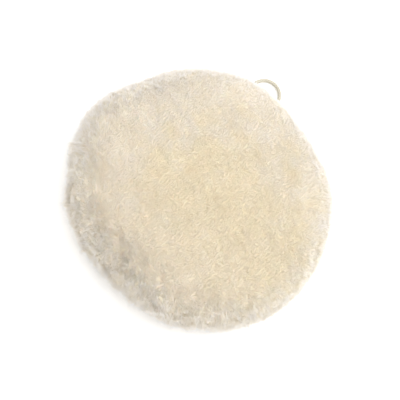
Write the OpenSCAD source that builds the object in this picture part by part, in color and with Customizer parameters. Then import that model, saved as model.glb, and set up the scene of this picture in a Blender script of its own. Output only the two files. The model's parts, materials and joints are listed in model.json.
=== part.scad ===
/* [Backing pad] */
// Diameter of the backing pad that the bonnet is made for
pad_d = 175; // [120:1:230]
// Radial room left around the backing pad
pad_clearance = 0.5; // [0.2:0.1:3]
// Height of the hollow between the pad seat and the turned-in skirt
cavity_h = 18.8; // [16:0.2:40]

/* [Sheepskin] */
// Thickness of the tanned hide
hide_t = 1.6; // [0.8:0.1:3]
// Inside radius of the bend where the skirt turns in under the pad
turn_in_r = 8; // [4:0.5:14]
// Width of the flat part of the skirt, from the bend to the hem's channel
under_flat_w = 10; // [6:0.5:24]
// Width of the thinned edge band of the face hide
skive_w = 3.1; // [2:0.1:6]
// Depth taken off in the thinned edge band
skive_depth = 0.4; // [0.2:0.1:0.6]

/* [Pile] */
// Length of the sheared pile on the polishing face
face_pile_l = 16; // [6:0.5:30]
// Length of the pile around the rim
rim_pile_l = 14; // [9:0.5:24]
// Height that the pressed pile holds the skirt off the table
under_pile_l = 9; // [8.6:0.2:16]
// Rounding of the pile's upper edge
top_round = 23; // [16:0.5:24]
// Rounding of the pile's lower edge
bottom_round = 20; // [12:0.5:22]
// Parting between the face pile and the rim pile
pile_gap = 0.4; // [0.2:0.1:1]
// Parting between the strips, across the skirt
strip_gap = 0.4; // [0.2:0.1:1]

/* [Hem] */
// Thickness of the cotton tape
tape_t = 0.8; // [0.4:0.1:1.2]
// Height of the folded channel that holds the cord
channel_h = 8.5; // [7:0.1:10]
// Distance that the bound edge of the tape stops short of the bend
binding_setback = 2; // [1:0.5:4]
// Inside radius of the channel's folds
fold_r = 0.4; // [0.2:0.1:0.8]
// Width of the opening where the cord leaves the hem
exit_w = 20; // [18:0.5:26]
// Width of the parting in the lower pile that the cord runs through
slit_w = 18; // [16:0.5:24]

/* [Drawcord] */
// Diameter of the braided cotton cord
cord_d = 3; // [2:0.1:3.2]
// Radial play of the cord inside its channel
cord_play = 0.2; // [0.1:0.1:0.8]
// Diameter of the knot that joins the two ends
knot_d = 8; // [6:0.2:8.2]
// Diameter of the stopper knot on each tail
stopper_d = 5.4; // [4:0.2:5.6]

/* [Stitching] */
// Leg of the overlocked seam bead inside the rim
seam_leg = 1.1; // [0.6:0.1:2]
// Thickness of the sewing thread
thread_d = 0.7; // [0.3:0.1:1]
// Length of a stitch across a strip join
join_stitch_l = 5; // [3:0.5:8]
// Spacing of the stitches along a strip join
join_stitch_pitch = 2; // [1.5:0.1:4]
// Width of a bartack beside the cord opening
bartack_w = 1.8; // [1:0.1:3]

/* [Hidden] */
$fn = 96;

// Radii from the rim inwards
cavity_r = pad_d / 2 + pad_clearance;
hide_r = cavity_r + hide_t;
pile_r = hide_r + rim_pile_l;
seat_r = hide_r - skive_w;
hide_edge_r = cavity_r - turn_in_r - under_flat_w;
binding_w = under_flat_w - binding_setback;
binding_r = hide_edge_r + binding_w;
channel_w = cord_d + 2 * cord_play + 2 * tape_t;
cord_r = hide_edge_r - channel_w / 2;
mouth_r = hide_edge_r - channel_w;

// Levels from the table upwards
skirt_z = under_pile_l;
cavity_z = skirt_z + hide_t;
seat_z = cavity_z + cavity_h;
skive_z = seat_z + skive_depth;
face_z = seat_z + hide_t;
top_z = face_z + face_pile_l;
cord_z = skirt_z + hide_t / 2;
top_r = min(top_round, top_z - bottom_round);

// Angles around the axis; the cord leaves the hem towards +Y
exit_a = 90;
skirt_strips = 3;
strip_a = 360 / skirt_strips;
strip_gap_a = 2 * asin(strip_gap / 2 / cavity_r);
exit_half_a = asin(exit_w / 2 / cord_r);

// Small distances that keep stitches just off the faces they lie on
lay_off = 0.05;
beyond = 30;

// Points outside the hem are counted outwards from the channel's middle line, at table level
// Route of the drawcord's loop: out of the hem, down to the table, round and back to the knot
loop_route = [
  [-7.6, 0.1, 9.8], [-5, 2.7, 9.4], [-4, 6, 8.5], [-4, 9.5, 6.8], [-4, 13, 4.8],
  [-4, 17, 3], [-4.2, 21.5, 2], [-5.4, 26.5, 1.6], [-7.6, 32.5, 1.6], [-10.2, 38.6, 1.6],
  [-12.5, 44.6, 1.6], [-14, 50.4, 1.6], [-14.1, 56.2, 1.6], [-11.8, 62.2, 1.6], [-7.2, 66.8, 1.6],
  [-1.3, 68.5, 1.6], [4.2, 66.9, 1.6], [8.2, 62.6, 1.6], [10.2, 57, 1.6], [10.6, 51.4, 1.6],
  [10, 46, 1.8], [8.2, 41, 2.8], [6, 36.8, 3.8]
];
// Route of the short end: out of the hem and down to the knot
short_route = [
  [7.6, 0.1, 9.8], [5, 2.7, 9.4], [4, 6, 8.5], [4, 9.5, 7], [4, 13.5, 5.2],
  [4, 18, 3.8], [4.2, 22.5, 3.2], [4.4, 27.5, 3.4], [4.5, 32.5, 4]
];
// Place of the joining knot, just outside the foot of the rim pile
knot_at = [4.5, 34.5, 4.2];
// Route of the tail that lies to the right of the knot
tail_right_route = [
  [7, 33.5, 3.6], [10, 32.3, 2.3], [14, 32, 1.6], [19, 33, 1.6], [24, 33.5, 1.6], [28.5, 33, 2]
];
// Route of the tail that lies inside the loop
tail_middle_route = [
  [2.6, 36.7, 3.6], [0.2, 39, 2.3], [-1.6, 42, 1.7], [-2.2, 44.5, 2.1]
];
// Places of the stopper knots on the two tails
stopper_right_at = [30, 32.5, 2.8];
stopper_middle_at = [-2.4, 45.5, 2.8];

// Closed tube of round section along a route
TUBE_SIDES = 8;
function unit(v) = v / norm(v);
function heading(route, i, first) =
  i == 0 && first != undef ? unit(first)
  : unit(route[min(i + 1, len(route) - 1)] - route[max(i - 1, 0)]);
function ring(at, along, r) =
  let (side = unit(cross(along, [0, 0, 1])), up = cross(side, along))
  [for (k = [0 : TUBE_SIDES - 1])
    let (a = 360 * (k + 0.5) / TUBE_SIDES) at + r * (cos(a) * side + sin(a) * up)];
module tube(route, d, first = undef) {
  rings = len(route);
  points = [for (i = [0 : rings - 1]) each ring(route[i], heading(route, i, first), d / 2)];
  walls = [
    for (i = [0 : rings - 2]) for (k = [0 : TUBE_SIDES - 1])
      let (next = (k + 1) % TUBE_SIDES)
      [i * TUBE_SIDES + k, i * TUBE_SIDES + next,
       (i + 1) * TUBE_SIDES + next, (i + 1) * TUBE_SIDES + k]
  ];
  near_cap = [for (k = [0 : TUBE_SIDES - 1]) TUBE_SIDES - 1 - k];
  far_cap = [for (k = [0 : TUBE_SIDES - 1]) (rings - 1) * TUBE_SIDES + k];
  polyhedron(points = points, faces = concat(walls, [near_cap, far_cap]));
}

// Half section of a round body with rounded edges, from the axis out to r and from z = 0 to h
module rounded_half(r, h, top_r, low_r) {
  square([r - max(top_r, low_r), h]);
  translate([0, low_r]) square([r, h - low_r - top_r]);
  translate([r - low_r, low_r]) circle(low_r);
  translate([r - top_r, h - top_r]) circle(top_r);
  square([r - low_r, low_r]);
  translate([0, h - top_r]) square([r - top_r, top_r]);
}

// Half section of a round body with a sharp upper edge and a rounded lower edge
module bowl_half(r, low_z, high_z, low_r) {
  translate([0, low_z]) square([r - low_r, high_z - low_z]);
  translate([0, low_z + low_r]) square([r, high_z - low_z - low_r]);
  translate([r - low_r, low_z + low_r]) circle(low_r);
}

// Section of the skirt hide: the rim wall, the bend and the turned-in part
module skirt_hide_section() {
  difference() {
    bowl_half(hide_r, skirt_z, skive_z, turn_in_r + hide_t);
    bowl_half(cavity_r, cavity_z, skive_z + beyond, turn_in_r);
    translate([0, skirt_z - beyond]) square([hide_edge_r, 2 * beyond]);
  }
}

// Section of the pile around the rim and under the skirt
module skirt_pile_section() {
  difference() {
    rounded_half(pile_r, top_z, top_r, bottom_round);
    bowl_half(hide_r, skirt_z, face_z, turn_in_r + hide_t);
    square([binding_r + pile_gap, skirt_z]);
    polygon([
      [0, face_z - pile_gap], [hide_r, face_z - pile_gap],
      [hide_r + beyond, face_z + beyond - pile_gap], [0, face_z + beyond - pile_gap]
    ]);
  }
}

// Section of the hem tape: a folded channel whose two edges bind the hide
module hem_tape_section() {
  difference() {
    translate([mouth_r, cord_z - channel_h / 2]) rounded_box(channel_w, channel_h, fold_r + tape_t);
    translate([mouth_r + tape_t, cord_z - channel_h / 2 + tape_t])
      rounded_box(channel_w - 2 * tape_t, channel_h - 2 * tape_t, fold_r);
  }
  translate([hide_edge_r, cavity_z]) square([binding_w, tape_t]);
  translate([hide_edge_r, skirt_z - tape_t]) square([binding_w, tape_t]);
}
module rounded_box(w, h, r) {
  translate([r, 0]) square([w - 2 * r, h]);
  translate([0, r]) square([w, h - 2 * r]);
  for (x = [r, w - r]) for (y = [r, h - r]) translate([x, y]) circle(r);
}

// One strip's share of a body of revolution, counted anticlockwise from the cord's opening.
// The last strip is the first one's mirror image across the opening.
module strip_turn(i) {
  rotate([0, 0, exit_a + i * strip_a + strip_gap_a / 2])
    rotate_extrude(angle = strip_a - strip_gap_a) children();
}
// A turn all the way round the hem but for the cord's opening
module hem_turn() {
  rotate([0, 0, exit_a + exit_half_a])
    rotate_extrude(angle = 360 - 2 * exit_half_a) children();
}
// Parting through the lower pile that the cord runs out along
module cord_slit() {
  translate([-slit_w / 2, 0, -beyond]) cube([slit_w, pile_r + beyond, skirt_z + beyond]);
}
// Notch in the hide's inner edge where the cord leaves the hem
module cord_notch() {
  translate([-exit_w / 2, 0, 0]) cube([exit_w, binding_r, cavity_z + hide_t]);
}

module face_hide() {
  color("wheat") difference() {
    translate([0, 0, seat_z]) cylinder(r = hide_r, h = hide_t);
    translate([0, 0, seat_z - beyond]) difference() {
      cylinder(r = hide_r + beyond, h = beyond + skive_depth);
      cylinder(r = seat_r, h = beyond + skive_depth);
    }
  }
}
module face_pile() {
  color("ivory") rotate_extrude() intersection() {
    rounded_half(pile_r, top_z, top_r, bottom_round);
    polygon([
      [0, face_z], [hide_r - pile_gap, face_z],
      [hide_r - pile_gap + beyond, face_z + beyond], [0, face_z + beyond]
    ]);
  }
}
module skirt_hide(i) {
  color("wheat") difference() {
    strip_turn(i) skirt_hide_section();
    cord_notch();
  }
}
module skirt_pile(i) {
  color("linen") difference() {
    strip_turn(i) skirt_pile_section();
    cord_slit();
  }
}
module face_seam_thread() {
  color("khaki") rotate_extrude() polygon([
    [cavity_r, skive_z], [cavity_r - seam_leg, skive_z], [cavity_r, skive_z - seam_leg]
  ]);
}
module strip_join_stitches() {
  low = cavity_z + turn_in_r;
  high = skive_z - seam_leg - thread_d;
  stitch_r = cavity_r - thread_d / 2 - lay_off - pow(join_stitch_l / 2, 2) / 2 / cavity_r;
  color("khaki") for (i = [0 : skirt_strips - 1])
    rotate([0, 0, exit_a + i * strip_a])
      for (z = [low : join_stitch_pitch : high])
        translate([stitch_r, 0, z]) rotate([90, 0, 0])
          cylinder(d = thread_d, h = join_stitch_l, center = true);
}
module hem_tape() {
  color("antiquewhite") hem_turn() hem_tape_section();
}
module hem_stitching() {
  row_r = hide_edge_r + binding_w / 2;
  color("khaki") hem_turn() {
    translate([row_r, cavity_z + tape_t]) square([thread_d, thread_d / 2]);
    translate([row_r, skirt_z - tape_t - thread_d / 2]) square([thread_d, thread_d / 2]);
  }
}
module exit_bartacks() {
  color("khaki") for (side = [-1, 1])
    rotate([0, 0, exit_a + side * exit_half_a])
      translate([hide_edge_r + thread_d, -bartack_w / 2 + side * bartack_w, cavity_z + tape_t])
        cube([binding_w / 2 - 2 * thread_d, bartack_w, thread_d / 2]);
}
module drawcord_in_hem() {
  color("tan") hem_turn() translate([cord_r, cord_z]) circle(d = cord_d);
}
function hem_end(side) =
  [side * cord_r * sin(exit_half_a), cord_r * cos(exit_half_a), cord_z];
function hem_heading(side) = [-side * cos(exit_half_a), sin(exit_half_a), 0];
function outside(point) = point + [0, cord_r, 0];
function outside_route(route) = [for (point = route) outside(point)];
module drawcord_loop() {
  color("tan") tube(concat([hem_end(-1)], outside_route(loop_route)), cord_d, hem_heading(-1));
}
module drawcord_short_end() {
  color("tan") tube(concat([hem_end(1)], outside_route(short_route)), cord_d, hem_heading(1));
}
module drawcord_knot() {
  color("tan") translate(outside(knot_at)) sphere(d = knot_d);
}
module drawcord_tail_right() {
  color("tan") tube(outside_route(tail_right_route), cord_d);
}
module drawcord_tail_middle() {
  color("tan") tube(outside_route(tail_middle_route), cord_d);
}
module tail_stopper_knots() {
  color("tan") for (at = [stopper_right_at, stopper_middle_at])
    translate(outside(at)) sphere(d = stopper_d);
}

face_hide();
face_pile();
skirt_hide(0);  // skirt_hide_1
skirt_hide(1);  // skirt_hide_2
mirror([1, 0, 0]) skirt_hide(0);  // skirt_hide_3
skirt_pile(0);  // skirt_pile_1
skirt_pile(1);  // skirt_pile_2
mirror([1, 0, 0]) skirt_pile(0);  // skirt_pile_3
face_seam_thread();
strip_join_stitches();
hem_tape();
hem_stitching();
exit_bartacks();
drawcord_in_hem();
drawcord_loop();
drawcord_short_end();
drawcord_knot();
drawcord_tail_right();
drawcord_tail_middle();
tail_stopper_knots();
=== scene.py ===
"""Looks of a tie-on lambswool polishing bonnet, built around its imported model.

Every length is in metres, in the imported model's frame: the bonnet lies on the table at z = 0 with its
polishing face up, and its drawcord leaves the hem towards +Y.
"""
import json
import logging
import math
from contextlib import contextmanager
from dataclasses import dataclass, fields
from enum import Enum
from typing import Callable, Iterator

import bmesh
import bpy
import numpy as np
from mathutils import Matrix, Vector
from mathutils.kdtree import KDTree

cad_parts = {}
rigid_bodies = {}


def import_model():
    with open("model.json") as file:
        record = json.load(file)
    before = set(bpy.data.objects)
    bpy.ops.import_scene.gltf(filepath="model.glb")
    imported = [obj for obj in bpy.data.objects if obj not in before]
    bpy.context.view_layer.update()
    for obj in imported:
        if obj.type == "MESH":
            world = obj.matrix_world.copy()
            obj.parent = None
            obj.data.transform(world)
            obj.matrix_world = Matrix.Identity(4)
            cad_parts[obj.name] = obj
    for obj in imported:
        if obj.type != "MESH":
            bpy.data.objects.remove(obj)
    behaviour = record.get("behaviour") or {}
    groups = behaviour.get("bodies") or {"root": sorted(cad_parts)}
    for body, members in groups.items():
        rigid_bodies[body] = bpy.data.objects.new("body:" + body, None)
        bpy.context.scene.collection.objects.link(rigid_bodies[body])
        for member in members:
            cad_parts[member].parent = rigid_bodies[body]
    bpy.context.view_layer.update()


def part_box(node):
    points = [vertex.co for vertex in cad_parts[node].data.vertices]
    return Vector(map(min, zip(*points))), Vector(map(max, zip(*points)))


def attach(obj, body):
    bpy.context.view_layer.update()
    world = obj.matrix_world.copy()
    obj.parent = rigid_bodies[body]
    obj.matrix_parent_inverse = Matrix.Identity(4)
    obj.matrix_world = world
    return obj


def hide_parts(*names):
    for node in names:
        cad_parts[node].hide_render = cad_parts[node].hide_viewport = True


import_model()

log = logging.getLogger("bonnet")
TURN = 2 * math.pi
GOLDEN_TURN = TURN * (3 - math.sqrt(5)) / 2
UP = np.array((0.0, 0.0, 1.0))
LEVEL = (1, 1, 0)
WELD_REACH = 2e-6
STRIPS = 3
Place = tuple[float, float, float]


# ---- Modelling bench ---------------------------------------------
def deselect_all() -> None:
    """Leaves no object selected."""
    for item in bpy.context.view_layer.objects:
        item.select_set(False)


def pick(piece: bpy.types.Object) -> None:
    """Selects one piece and nothing else, and makes it the active one."""
    deselect_all()
    bpy.context.view_layer.objects.active = piece
    piece.select_set(True)


def discard(piece: bpy.types.Object) -> None:
    """Throws away a working piece with its mesh."""
    mesh = piece.data
    bpy.data.objects.remove(piece)
    bpy.data.meshes.remove(mesh)


@contextmanager
def editing(piece: bpy.types.Object) -> Iterator[None]:
    """Edit mode on one piece, with all of it selected and no other piece.

    Args:
        piece: The mesh object to edit.
    """
    pick(piece)
    bpy.ops.object.mode_set(mode="EDIT")
    bpy.ops.mesh.select_all(action="SELECT")
    yield
    bpy.ops.object.mode_set(mode="OBJECT")


def mesh_points(piece: bpy.types.Object) -> np.ndarray:
    """Reads the places of a piece's vertices, one row each."""
    points = np.empty(len(piece.data.vertices) * 3)
    piece.data.vertices.foreach_get("co", points)
    return points.reshape(-1, 3)


def set_mesh_points(piece: bpy.types.Object, points: np.ndarray) -> None:
    """Puts a piece's vertices at the given places."""
    piece.data.vertices.foreach_set("co", np.ascontiguousarray(points, float).ravel())
    piece.data.update()


def set_vertex_value(piece: bpy.types.Object, name: str, values: np.ndarray) -> None:
    """Stores one number for each vertex, for a material to read.

    Args:
        piece: The mesh object.
        name: The attribute's name.
        values: One number for each vertex.
    """
    layer = piece.data.attributes.new(name, "FLOAT", "POINT")
    layer.data.foreach_set("value", np.ascontiguousarray(values, np.float32))


def apply_modifier(piece: bpy.types.Object, kind: str, **settings: object) -> None:
    """Adds a modifier to a piece and applies it at once.

    Args:
        piece: The mesh object.
        kind: The modifier's type.
        **settings: The modifier's values by name.
    """
    modifier = piece.modifiers.new(kind.title(), kind)
    for name, value in settings.items():
        setattr(modifier, name, value)
    pick(piece)
    bpy.ops.object.modifier_apply(modifier=modifier.name)


def turn_outwards() -> None:
    """Turns all the faces of the piece in edit mode outwards."""
    bpy.ops.mesh.select_all(action="SELECT")
    bpy.ops.mesh.normals_make_consistent(inside=False)


def close_and_face_outwards(piece: bpy.types.Object) -> None:
    """Merges a piece's doubled points and turns its faces outwards."""
    with editing(piece):
        bpy.ops.mesh.remove_doubles(threshold=WELD_REACH)
        bpy.ops.mesh.delete_loose(use_verts=True, use_edges=True, use_faces=False)
        turn_outwards()


def smooth(piece: bpy.types.Object, crease: float = 50) -> None:
    """Shades a piece smoothly, but for its creases sharper than an angle in degrees."""
    pick(piece)
    bpy.ops.object.shade_smooth_by_angle(angle=math.radians(crease))


def outline_ring(name: str, outline: np.ndarray, azimuth: float, closed: bool) -> bpy.types.Object:
    """Starts a body of revolution: a ring of points laid on a half section's outline.

    Args:
        name: The piece's name.
        outline: Radius and height of each point, in order.
        azimuth: Direction of the half plane that the section stands in.
        closed: Whether the outline closes on itself; an open one is cut after its last point.

    Returns:
        The new piece.
    """
    deselect_all()
    bpy.ops.mesh.primitive_circle_add(vertices=len(outline), radius=0.1, fill_type="NOTHING")
    piece = bpy.context.object
    piece.name = piece.data.name = name
    if not closed:
        with editing(piece):
            bpy.ops.mesh.select_all(action="DESELECT")
            work = bmesh.from_edit_mesh(piece.data)
            last = {0, len(outline) - 1}
            for edge in work.edges:
                edge.select = {corner.index for corner in edge.verts} == last
            bmesh.update_edit_mesh(piece.data)
            bpy.ops.mesh.delete(type="EDGE")
    radii, heights = outline.T
    set_mesh_points(piece, round_axis(radii, azimuth, heights))
    return piece


def spun_body(
    name: str, outline: np.ndarray, start: float, sweep: float, steps: int, closed: bool = True
) -> bpy.types.Object:
    """Models a body of revolution by spinning an outline about the bonnet's axis.

    Args:
        name: The piece's name.
        outline: Radius and height of each point of the half section.
        start: Azimuth where the body begins.
        sweep: Angle that it turns through, anticlockwise seen from above.
        steps: Number of steps in the turn.
        closed: Whether the outline is the edge of a solid, and not a sheet.

    Returns:
        The new piece, its ends filled if it is a solid that stops short of a whole turn.
    """
    piece = outline_ring(name, outline, start, closed)
    whole = math.isclose(sweep, TURN)
    with editing(piece):
        if closed and not whole:
            bpy.ops.mesh.edge_face_add()
        bpy.ops.mesh.spin(steps=steps, angle=sweep, center=(0, 0, 0), axis=(0, 0, -1))
    close_and_face_outwards(piece)
    return piece


def arc(centre: tuple[float, float], radius: float, first: float, last: float, count: int) -> np.ndarray:
    """Lists points along an arc in a half section, its angles in degrees."""
    angles = np.radians(np.linspace(first, last, count))
    return np.array(centre) + radius * np.stack((np.cos(angles), np.sin(angles)), 1)


def straight(first: tuple[float, float], last: tuple[float, float], step: float) -> np.ndarray:
    """Lists points from one place in a half section to another, both ends included."""
    count = max(2, 1 + round(math.dist(first, last) / step))
    return np.linspace(first, last, count)


def joined(*runs: np.ndarray) -> np.ndarray:
    """Joins runs of outline points and leaves out the points that repeat."""
    points = np.concatenate(runs)
    step = np.linalg.norm(np.diff(points, axis=0, append=points[:1]), axis=1)
    return points[step > 1e-6]


def bulk_mesh(name: str, points: np.ndarray, triangles: np.ndarray) -> bpy.types.Object:
    """Makes one piece out of many copied shapes.

    Args:
        name: The piece's name.
        points: Every vertex of every copy.
        triangles: Three vertex numbers for each face.

    Returns:
        The new piece.
    """
    mesh = bpy.data.meshes.new(name)
    mesh.vertices.add(len(points))
    mesh.vertices.foreach_set("co", points.astype(np.float32).ravel())
    mesh.loops.add(triangles.size)
    mesh.loops.foreach_set("vertex_index", triangles.astype(np.int32).ravel())
    mesh.polygons.add(len(triangles))
    mesh.polygons.foreach_set("loop_start", np.arange(0, triangles.size, 3, dtype=np.int32))
    mesh.update(calc_edges=True)
    mesh.validate()
    mesh.shade_smooth()
    piece = bpy.data.objects.new(name, mesh)
    bpy.context.scene.collection.objects.link(piece)
    return piece


def unit_rows(rows: np.ndarray) -> np.ndarray:
    """Scales each row to length one."""
    return rows / np.maximum(np.linalg.norm(rows, axis=-1, keepdims=True), 1e-12)


def ease(values: np.ndarray, low: float, high: float) -> np.ndarray:
    """Rises smoothly from 0 at low to 1 at high."""
    t = np.clip((values - low) / (high - low), 0, 1)
    return t * t * (3 - 2 * t)


def radius_of(points: np.ndarray) -> np.ndarray:
    """Distance of each point from the axis."""
    return np.hypot(points[:, 0], points[:, 1])


def round_axis(radius: np.ndarray, azimuth: np.ndarray, height: np.ndarray) -> np.ndarray:
    """Places in space from their radius, azimuth and height."""
    return np.stack((radius * np.cos(azimuth), radius * np.sin(azimuth), height), 1)


def gone_along(points: np.ndarray) -> np.ndarray:
    """Distance along a run of points to each of them."""
    return np.concatenate(([0], np.cumsum(np.linalg.norm(np.diff(points, axis=0), axis=1))))


def azimuth_of(points: np.ndarray) -> np.ndarray:
    """Direction of each point round the axis, from 0 to a whole turn."""
    return np.arctan2(points[:, 1], points[:, 0]) % TURN


def turn_between(first: np.ndarray, second: float) -> np.ndarray:
    """Signed angle from one direction to another, at most half a turn."""
    return (first - second + math.pi) % TURN - math.pi


class SoftNoise:
    """Smooth seeded noise in space, about half a unit either way, made of waves in many directions."""

    WAVES = 11

    def __init__(self, wavelength: float, seed: int) -> None:
        """Draws the waves.

        Args:
            wavelength: Usual distance from one crest to the next.
            seed: Seed of the random draws.
        """
        draw = np.random.default_rng(seed)
        directions = unit_rows(draw.normal(size=(self.WAVES, 3)))
        lengths = wavelength * draw.uniform(0.7, 1.6, self.WAVES)
        self.turns = directions * (TURN / lengths)[:, None]
        self.phases = draw.uniform(0, TURN, self.WAVES)

    def at(self, points: np.ndarray) -> np.ndarray:
        """Gives the noise at each point."""
        return np.sin(points @ self.turns.T + self.phases).sum(axis=1) / math.sqrt(2 * self.WAVES)


# ---- Finishes ----------------------------------------------------
Socket = bpy.types.NodeSocket
Colour = tuple[float, float, float]


class Recipe:
    """A material's node tree, with a short call for each kind of node that the finishes use."""

    def __init__(self, name: str) -> None:
        """Starts a material with one shader.

        Args:
            name: The material's name.
        """
        self.material = bpy.data.materials.new(name)
        self.material.use_nodes = True
        self.tree = self.material.node_tree
        self.shader = self.tree.nodes["Principled BSDF"]

    def node(self, kind: str, **settings: object) -> bpy.types.Node:
        """Adds a node and sets its properties by name."""
        made = self.tree.nodes.new(kind)
        for name, value in settings.items():
            setattr(made, name, value)
        return made

    def feed(self, socket: Socket, value: object) -> None:
        """Links a socket to another one, or sets it to a plain value."""
        if isinstance(value, bpy.types.NodeSocket):
            self.tree.links.new(value, socket)
        else:
            socket.default_value = value

    def place(self, scale: Colour = (1, 1, 1), turn: float = 0) -> Socket:
        """Gives Object coordinates, scaled along each axis after a turn about the bonnet's axis."""
        where = self.node("ShaderNodeTexCoord").outputs["Object"]
        mapping = self.node("ShaderNodeMapping")
        self.feed(mapping.inputs["Vector"], where)
        mapping.inputs["Scale"].default_value = scale
        mapping.inputs["Rotation"].default_value = (0, 0, turn)
        return mapping.outputs["Vector"]

    def value_of(self, attribute: str) -> Socket:
        """Reads a number that the piece's vertices carry."""
        return self.node("ShaderNodeAttribute", attribute_name=attribute).outputs["Fac"]

    def noise(self, vector: Socket, size: float, detail: float = 3, rough: float = 0.55) -> Socket:
        """Adds noise whose blobs are about one size across."""
        made = self.node("ShaderNodeTexNoise")
        self.feed(made.inputs["Vector"], vector)
        made.inputs["Scale"].default_value = 1 / size
        made.inputs["Detail"].default_value = detail
        made.inputs["Roughness"].default_value = rough
        return made.outputs[0]

    def ramp(self, value: Socket, low: float, high: float, first: float = 0, last: float = 1) -> Socket:
        """Turns a range of one value into a range of another, and stops at its ends."""
        made = self.node("ShaderNodeMapRange", clamp=True, interpolation_type="SMOOTHSTEP")
        for name, number in zip(("From Min", "From Max", "To Min", "To Max"), (low, high, first, last)):
            made.inputs[name].default_value = number
        self.feed(made.inputs["Value"], value)
        return made.outputs["Result"]

    def maths(self, kind: str, first: object, second: object = 0.0) -> Socket:
        """Adds a sum on one or two values."""
        made = self.node("ShaderNodeMath", operation=kind)
        self.feed(made.inputs[0], first)
        self.feed(made.inputs[1], second)
        return made.outputs[0]

    def blend(self, share: object, first: object, second: object) -> Socket:
        """Mixes two colours, given as sockets or as plain colours."""
        made = self.node("ShaderNodeMix", data_type="RGBA")
        self.feed(made.inputs["Factor"], share)
        for socket, value in ((made.inputs[6], first), (made.inputs[7], second)):
            self.feed(socket, value if isinstance(value, bpy.types.NodeSocket) else (*value, 1.0))
        return made.outputs[2]

    def bump(self, height: Socket, depth: float, strength: float = 1.0) -> Socket:
        """Adds a bump of a depth in metres."""
        made = self.node("ShaderNodeBump")
        made.inputs["Strength"].default_value = strength
        made.inputs["Distance"].default_value = depth
        self.feed(made.inputs["Height"], height)
        return made.outputs["Normal"]

    def finish(
        self, colour: Socket, roughness: Socket, normal: Socket, **constants: object
    ) -> bpy.types.Material:
        """Links the shader's main inputs and sets the rest as plain values.

        Args:
            colour: The base colour.
            roughness: The roughness.
            normal: The bumped normal.
            **constants: Other shader inputs by name, with _ for each space.

        Returns:
            The finished material.
        """
        self.feed(self.shader.inputs["Base Color"], colour)
        self.feed(self.shader.inputs["Roughness"], roughness)
        self.feed(self.shader.inputs["Normal"], normal)
        for name, value in constants.items():
            self.shader.inputs[name.replace("_", " ")].default_value = value
        return self.material


@dataclass(frozen=True)
class FleeceFinish:
    """Lambswool: creamy, soft and matt, yellower towards its roots; painted shade darkens it deep in the
    pile, in the nap's troughs and partings, and on the side away from the key lamp.
    """

    name: str
    tip: Colour = (0.985, 0.95, 0.92)
    warm_tip: Colour = (0.985, 0.91, 0.74)
    # Greyer, darker tip colour on the side away from the key lamp: painted shade, with greyer wool there.
    dull_tip: Colour = (0.90, 0.840, 0.765)
    # The roots' yellower colour, also mixed in as painted shade deep in the pile and in its troughs and
    # partings.
    root: Colour = (0.95, 0.86, 0.66)
    warm_centre: tuple[float, float, float] = (0.020, -0.020, 0.030)
    warm_core: float = 0.03
    warm_reach: float = 0.118
    # Direction and reach of the painted shade on the side away from the key lamp.
    dull_heading: float = math.radians(262)
    dull_reach: float = 0.11
    patch_size: float = 0.022
    grain_size: float = 0.0006
    sheen: float = 0.25
    glow: float = 0.5
    sheen_tint: Colour = (1.0, 0.96, 0.88)

    def material(self) -> bpy.types.Material:
        """Builds the fleece material."""
        make = Recipe(self.name)
        where = make.place()
        away = make.node("ShaderNodeVectorMath", operation="DISTANCE")
        make.feed(away.inputs[0], where)
        away.inputs[1].default_value = self.warm_centre
        patches = make.noise(where, self.patch_size, 3)
        near = make.ramp(away.outputs["Value"], self.warm_core, self.warm_reach, 1.0, 0.0)
        warmth = make.maths("ADD", near, make.ramp(patches, 0.3, 0.7, -0.35, 0.35))
        warmth = make.ramp(warmth, 0.0, 1.0)
        # Painted shade: tips on the side away from the key lamp turn darker and greyer, in patches.
        side = make.node("ShaderNodeVectorMath", operation="DOT_PRODUCT")
        make.feed(side.inputs[0], where)
        side.inputs[1].default_value = (math.cos(self.dull_heading), math.sin(self.dull_heading), 0)
        side_shade = make.ramp(side.outputs["Value"], 0.0, self.dull_reach)
        side_shade = make.maths("MULTIPLY", side_shade, make.ramp(patches, 0.25, 0.65, 0.45, 1.0))
        tip = make.blend(warmth, self.tip, self.warm_tip)
        tip = make.blend(side_shade, tip, self.dull_tip)
        along = make.value_of("along")
        tone = make.value_of("tone")
        # Painted shade of the pile's depth, with the roots' own yellower colour: the colour runs to the root
        # colour further down each fibre.
        depth = make.ramp(along, 0.0, 0.8, 1.0, 0.0)
        colour = make.blend(depth, tip, self.root)
        # More root colour where the tone is high: random tone, with painted shade in the nap's troughs and
        # partings.
        colour = make.blend(make.ramp(tone, 0.3, 1.0, 0.0, 0.3), colour, self.root)
        grain = make.noise(where, self.grain_size, 2)
        rough = make.maths("ADD", make.ramp(grain, 0.3, 0.7, 0.62, 0.78), make.maths("MULTIPLY", tone, 0.1))
        return make.finish(colour, rough, make.bump(grain, 0.0001, 0.4),
                           Sheen_Weight=self.sheen, Sheen_Roughness=0.45, Sheen_Tint=(*self.sheen_tint, 1.0),
                           Specular_IOR_Level=0.15, Subsurface_Weight=self.glow, Subsurface_Scale=0.002,
                           Subsurface_Radius=(1.0, 0.75, 0.5))


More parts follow.
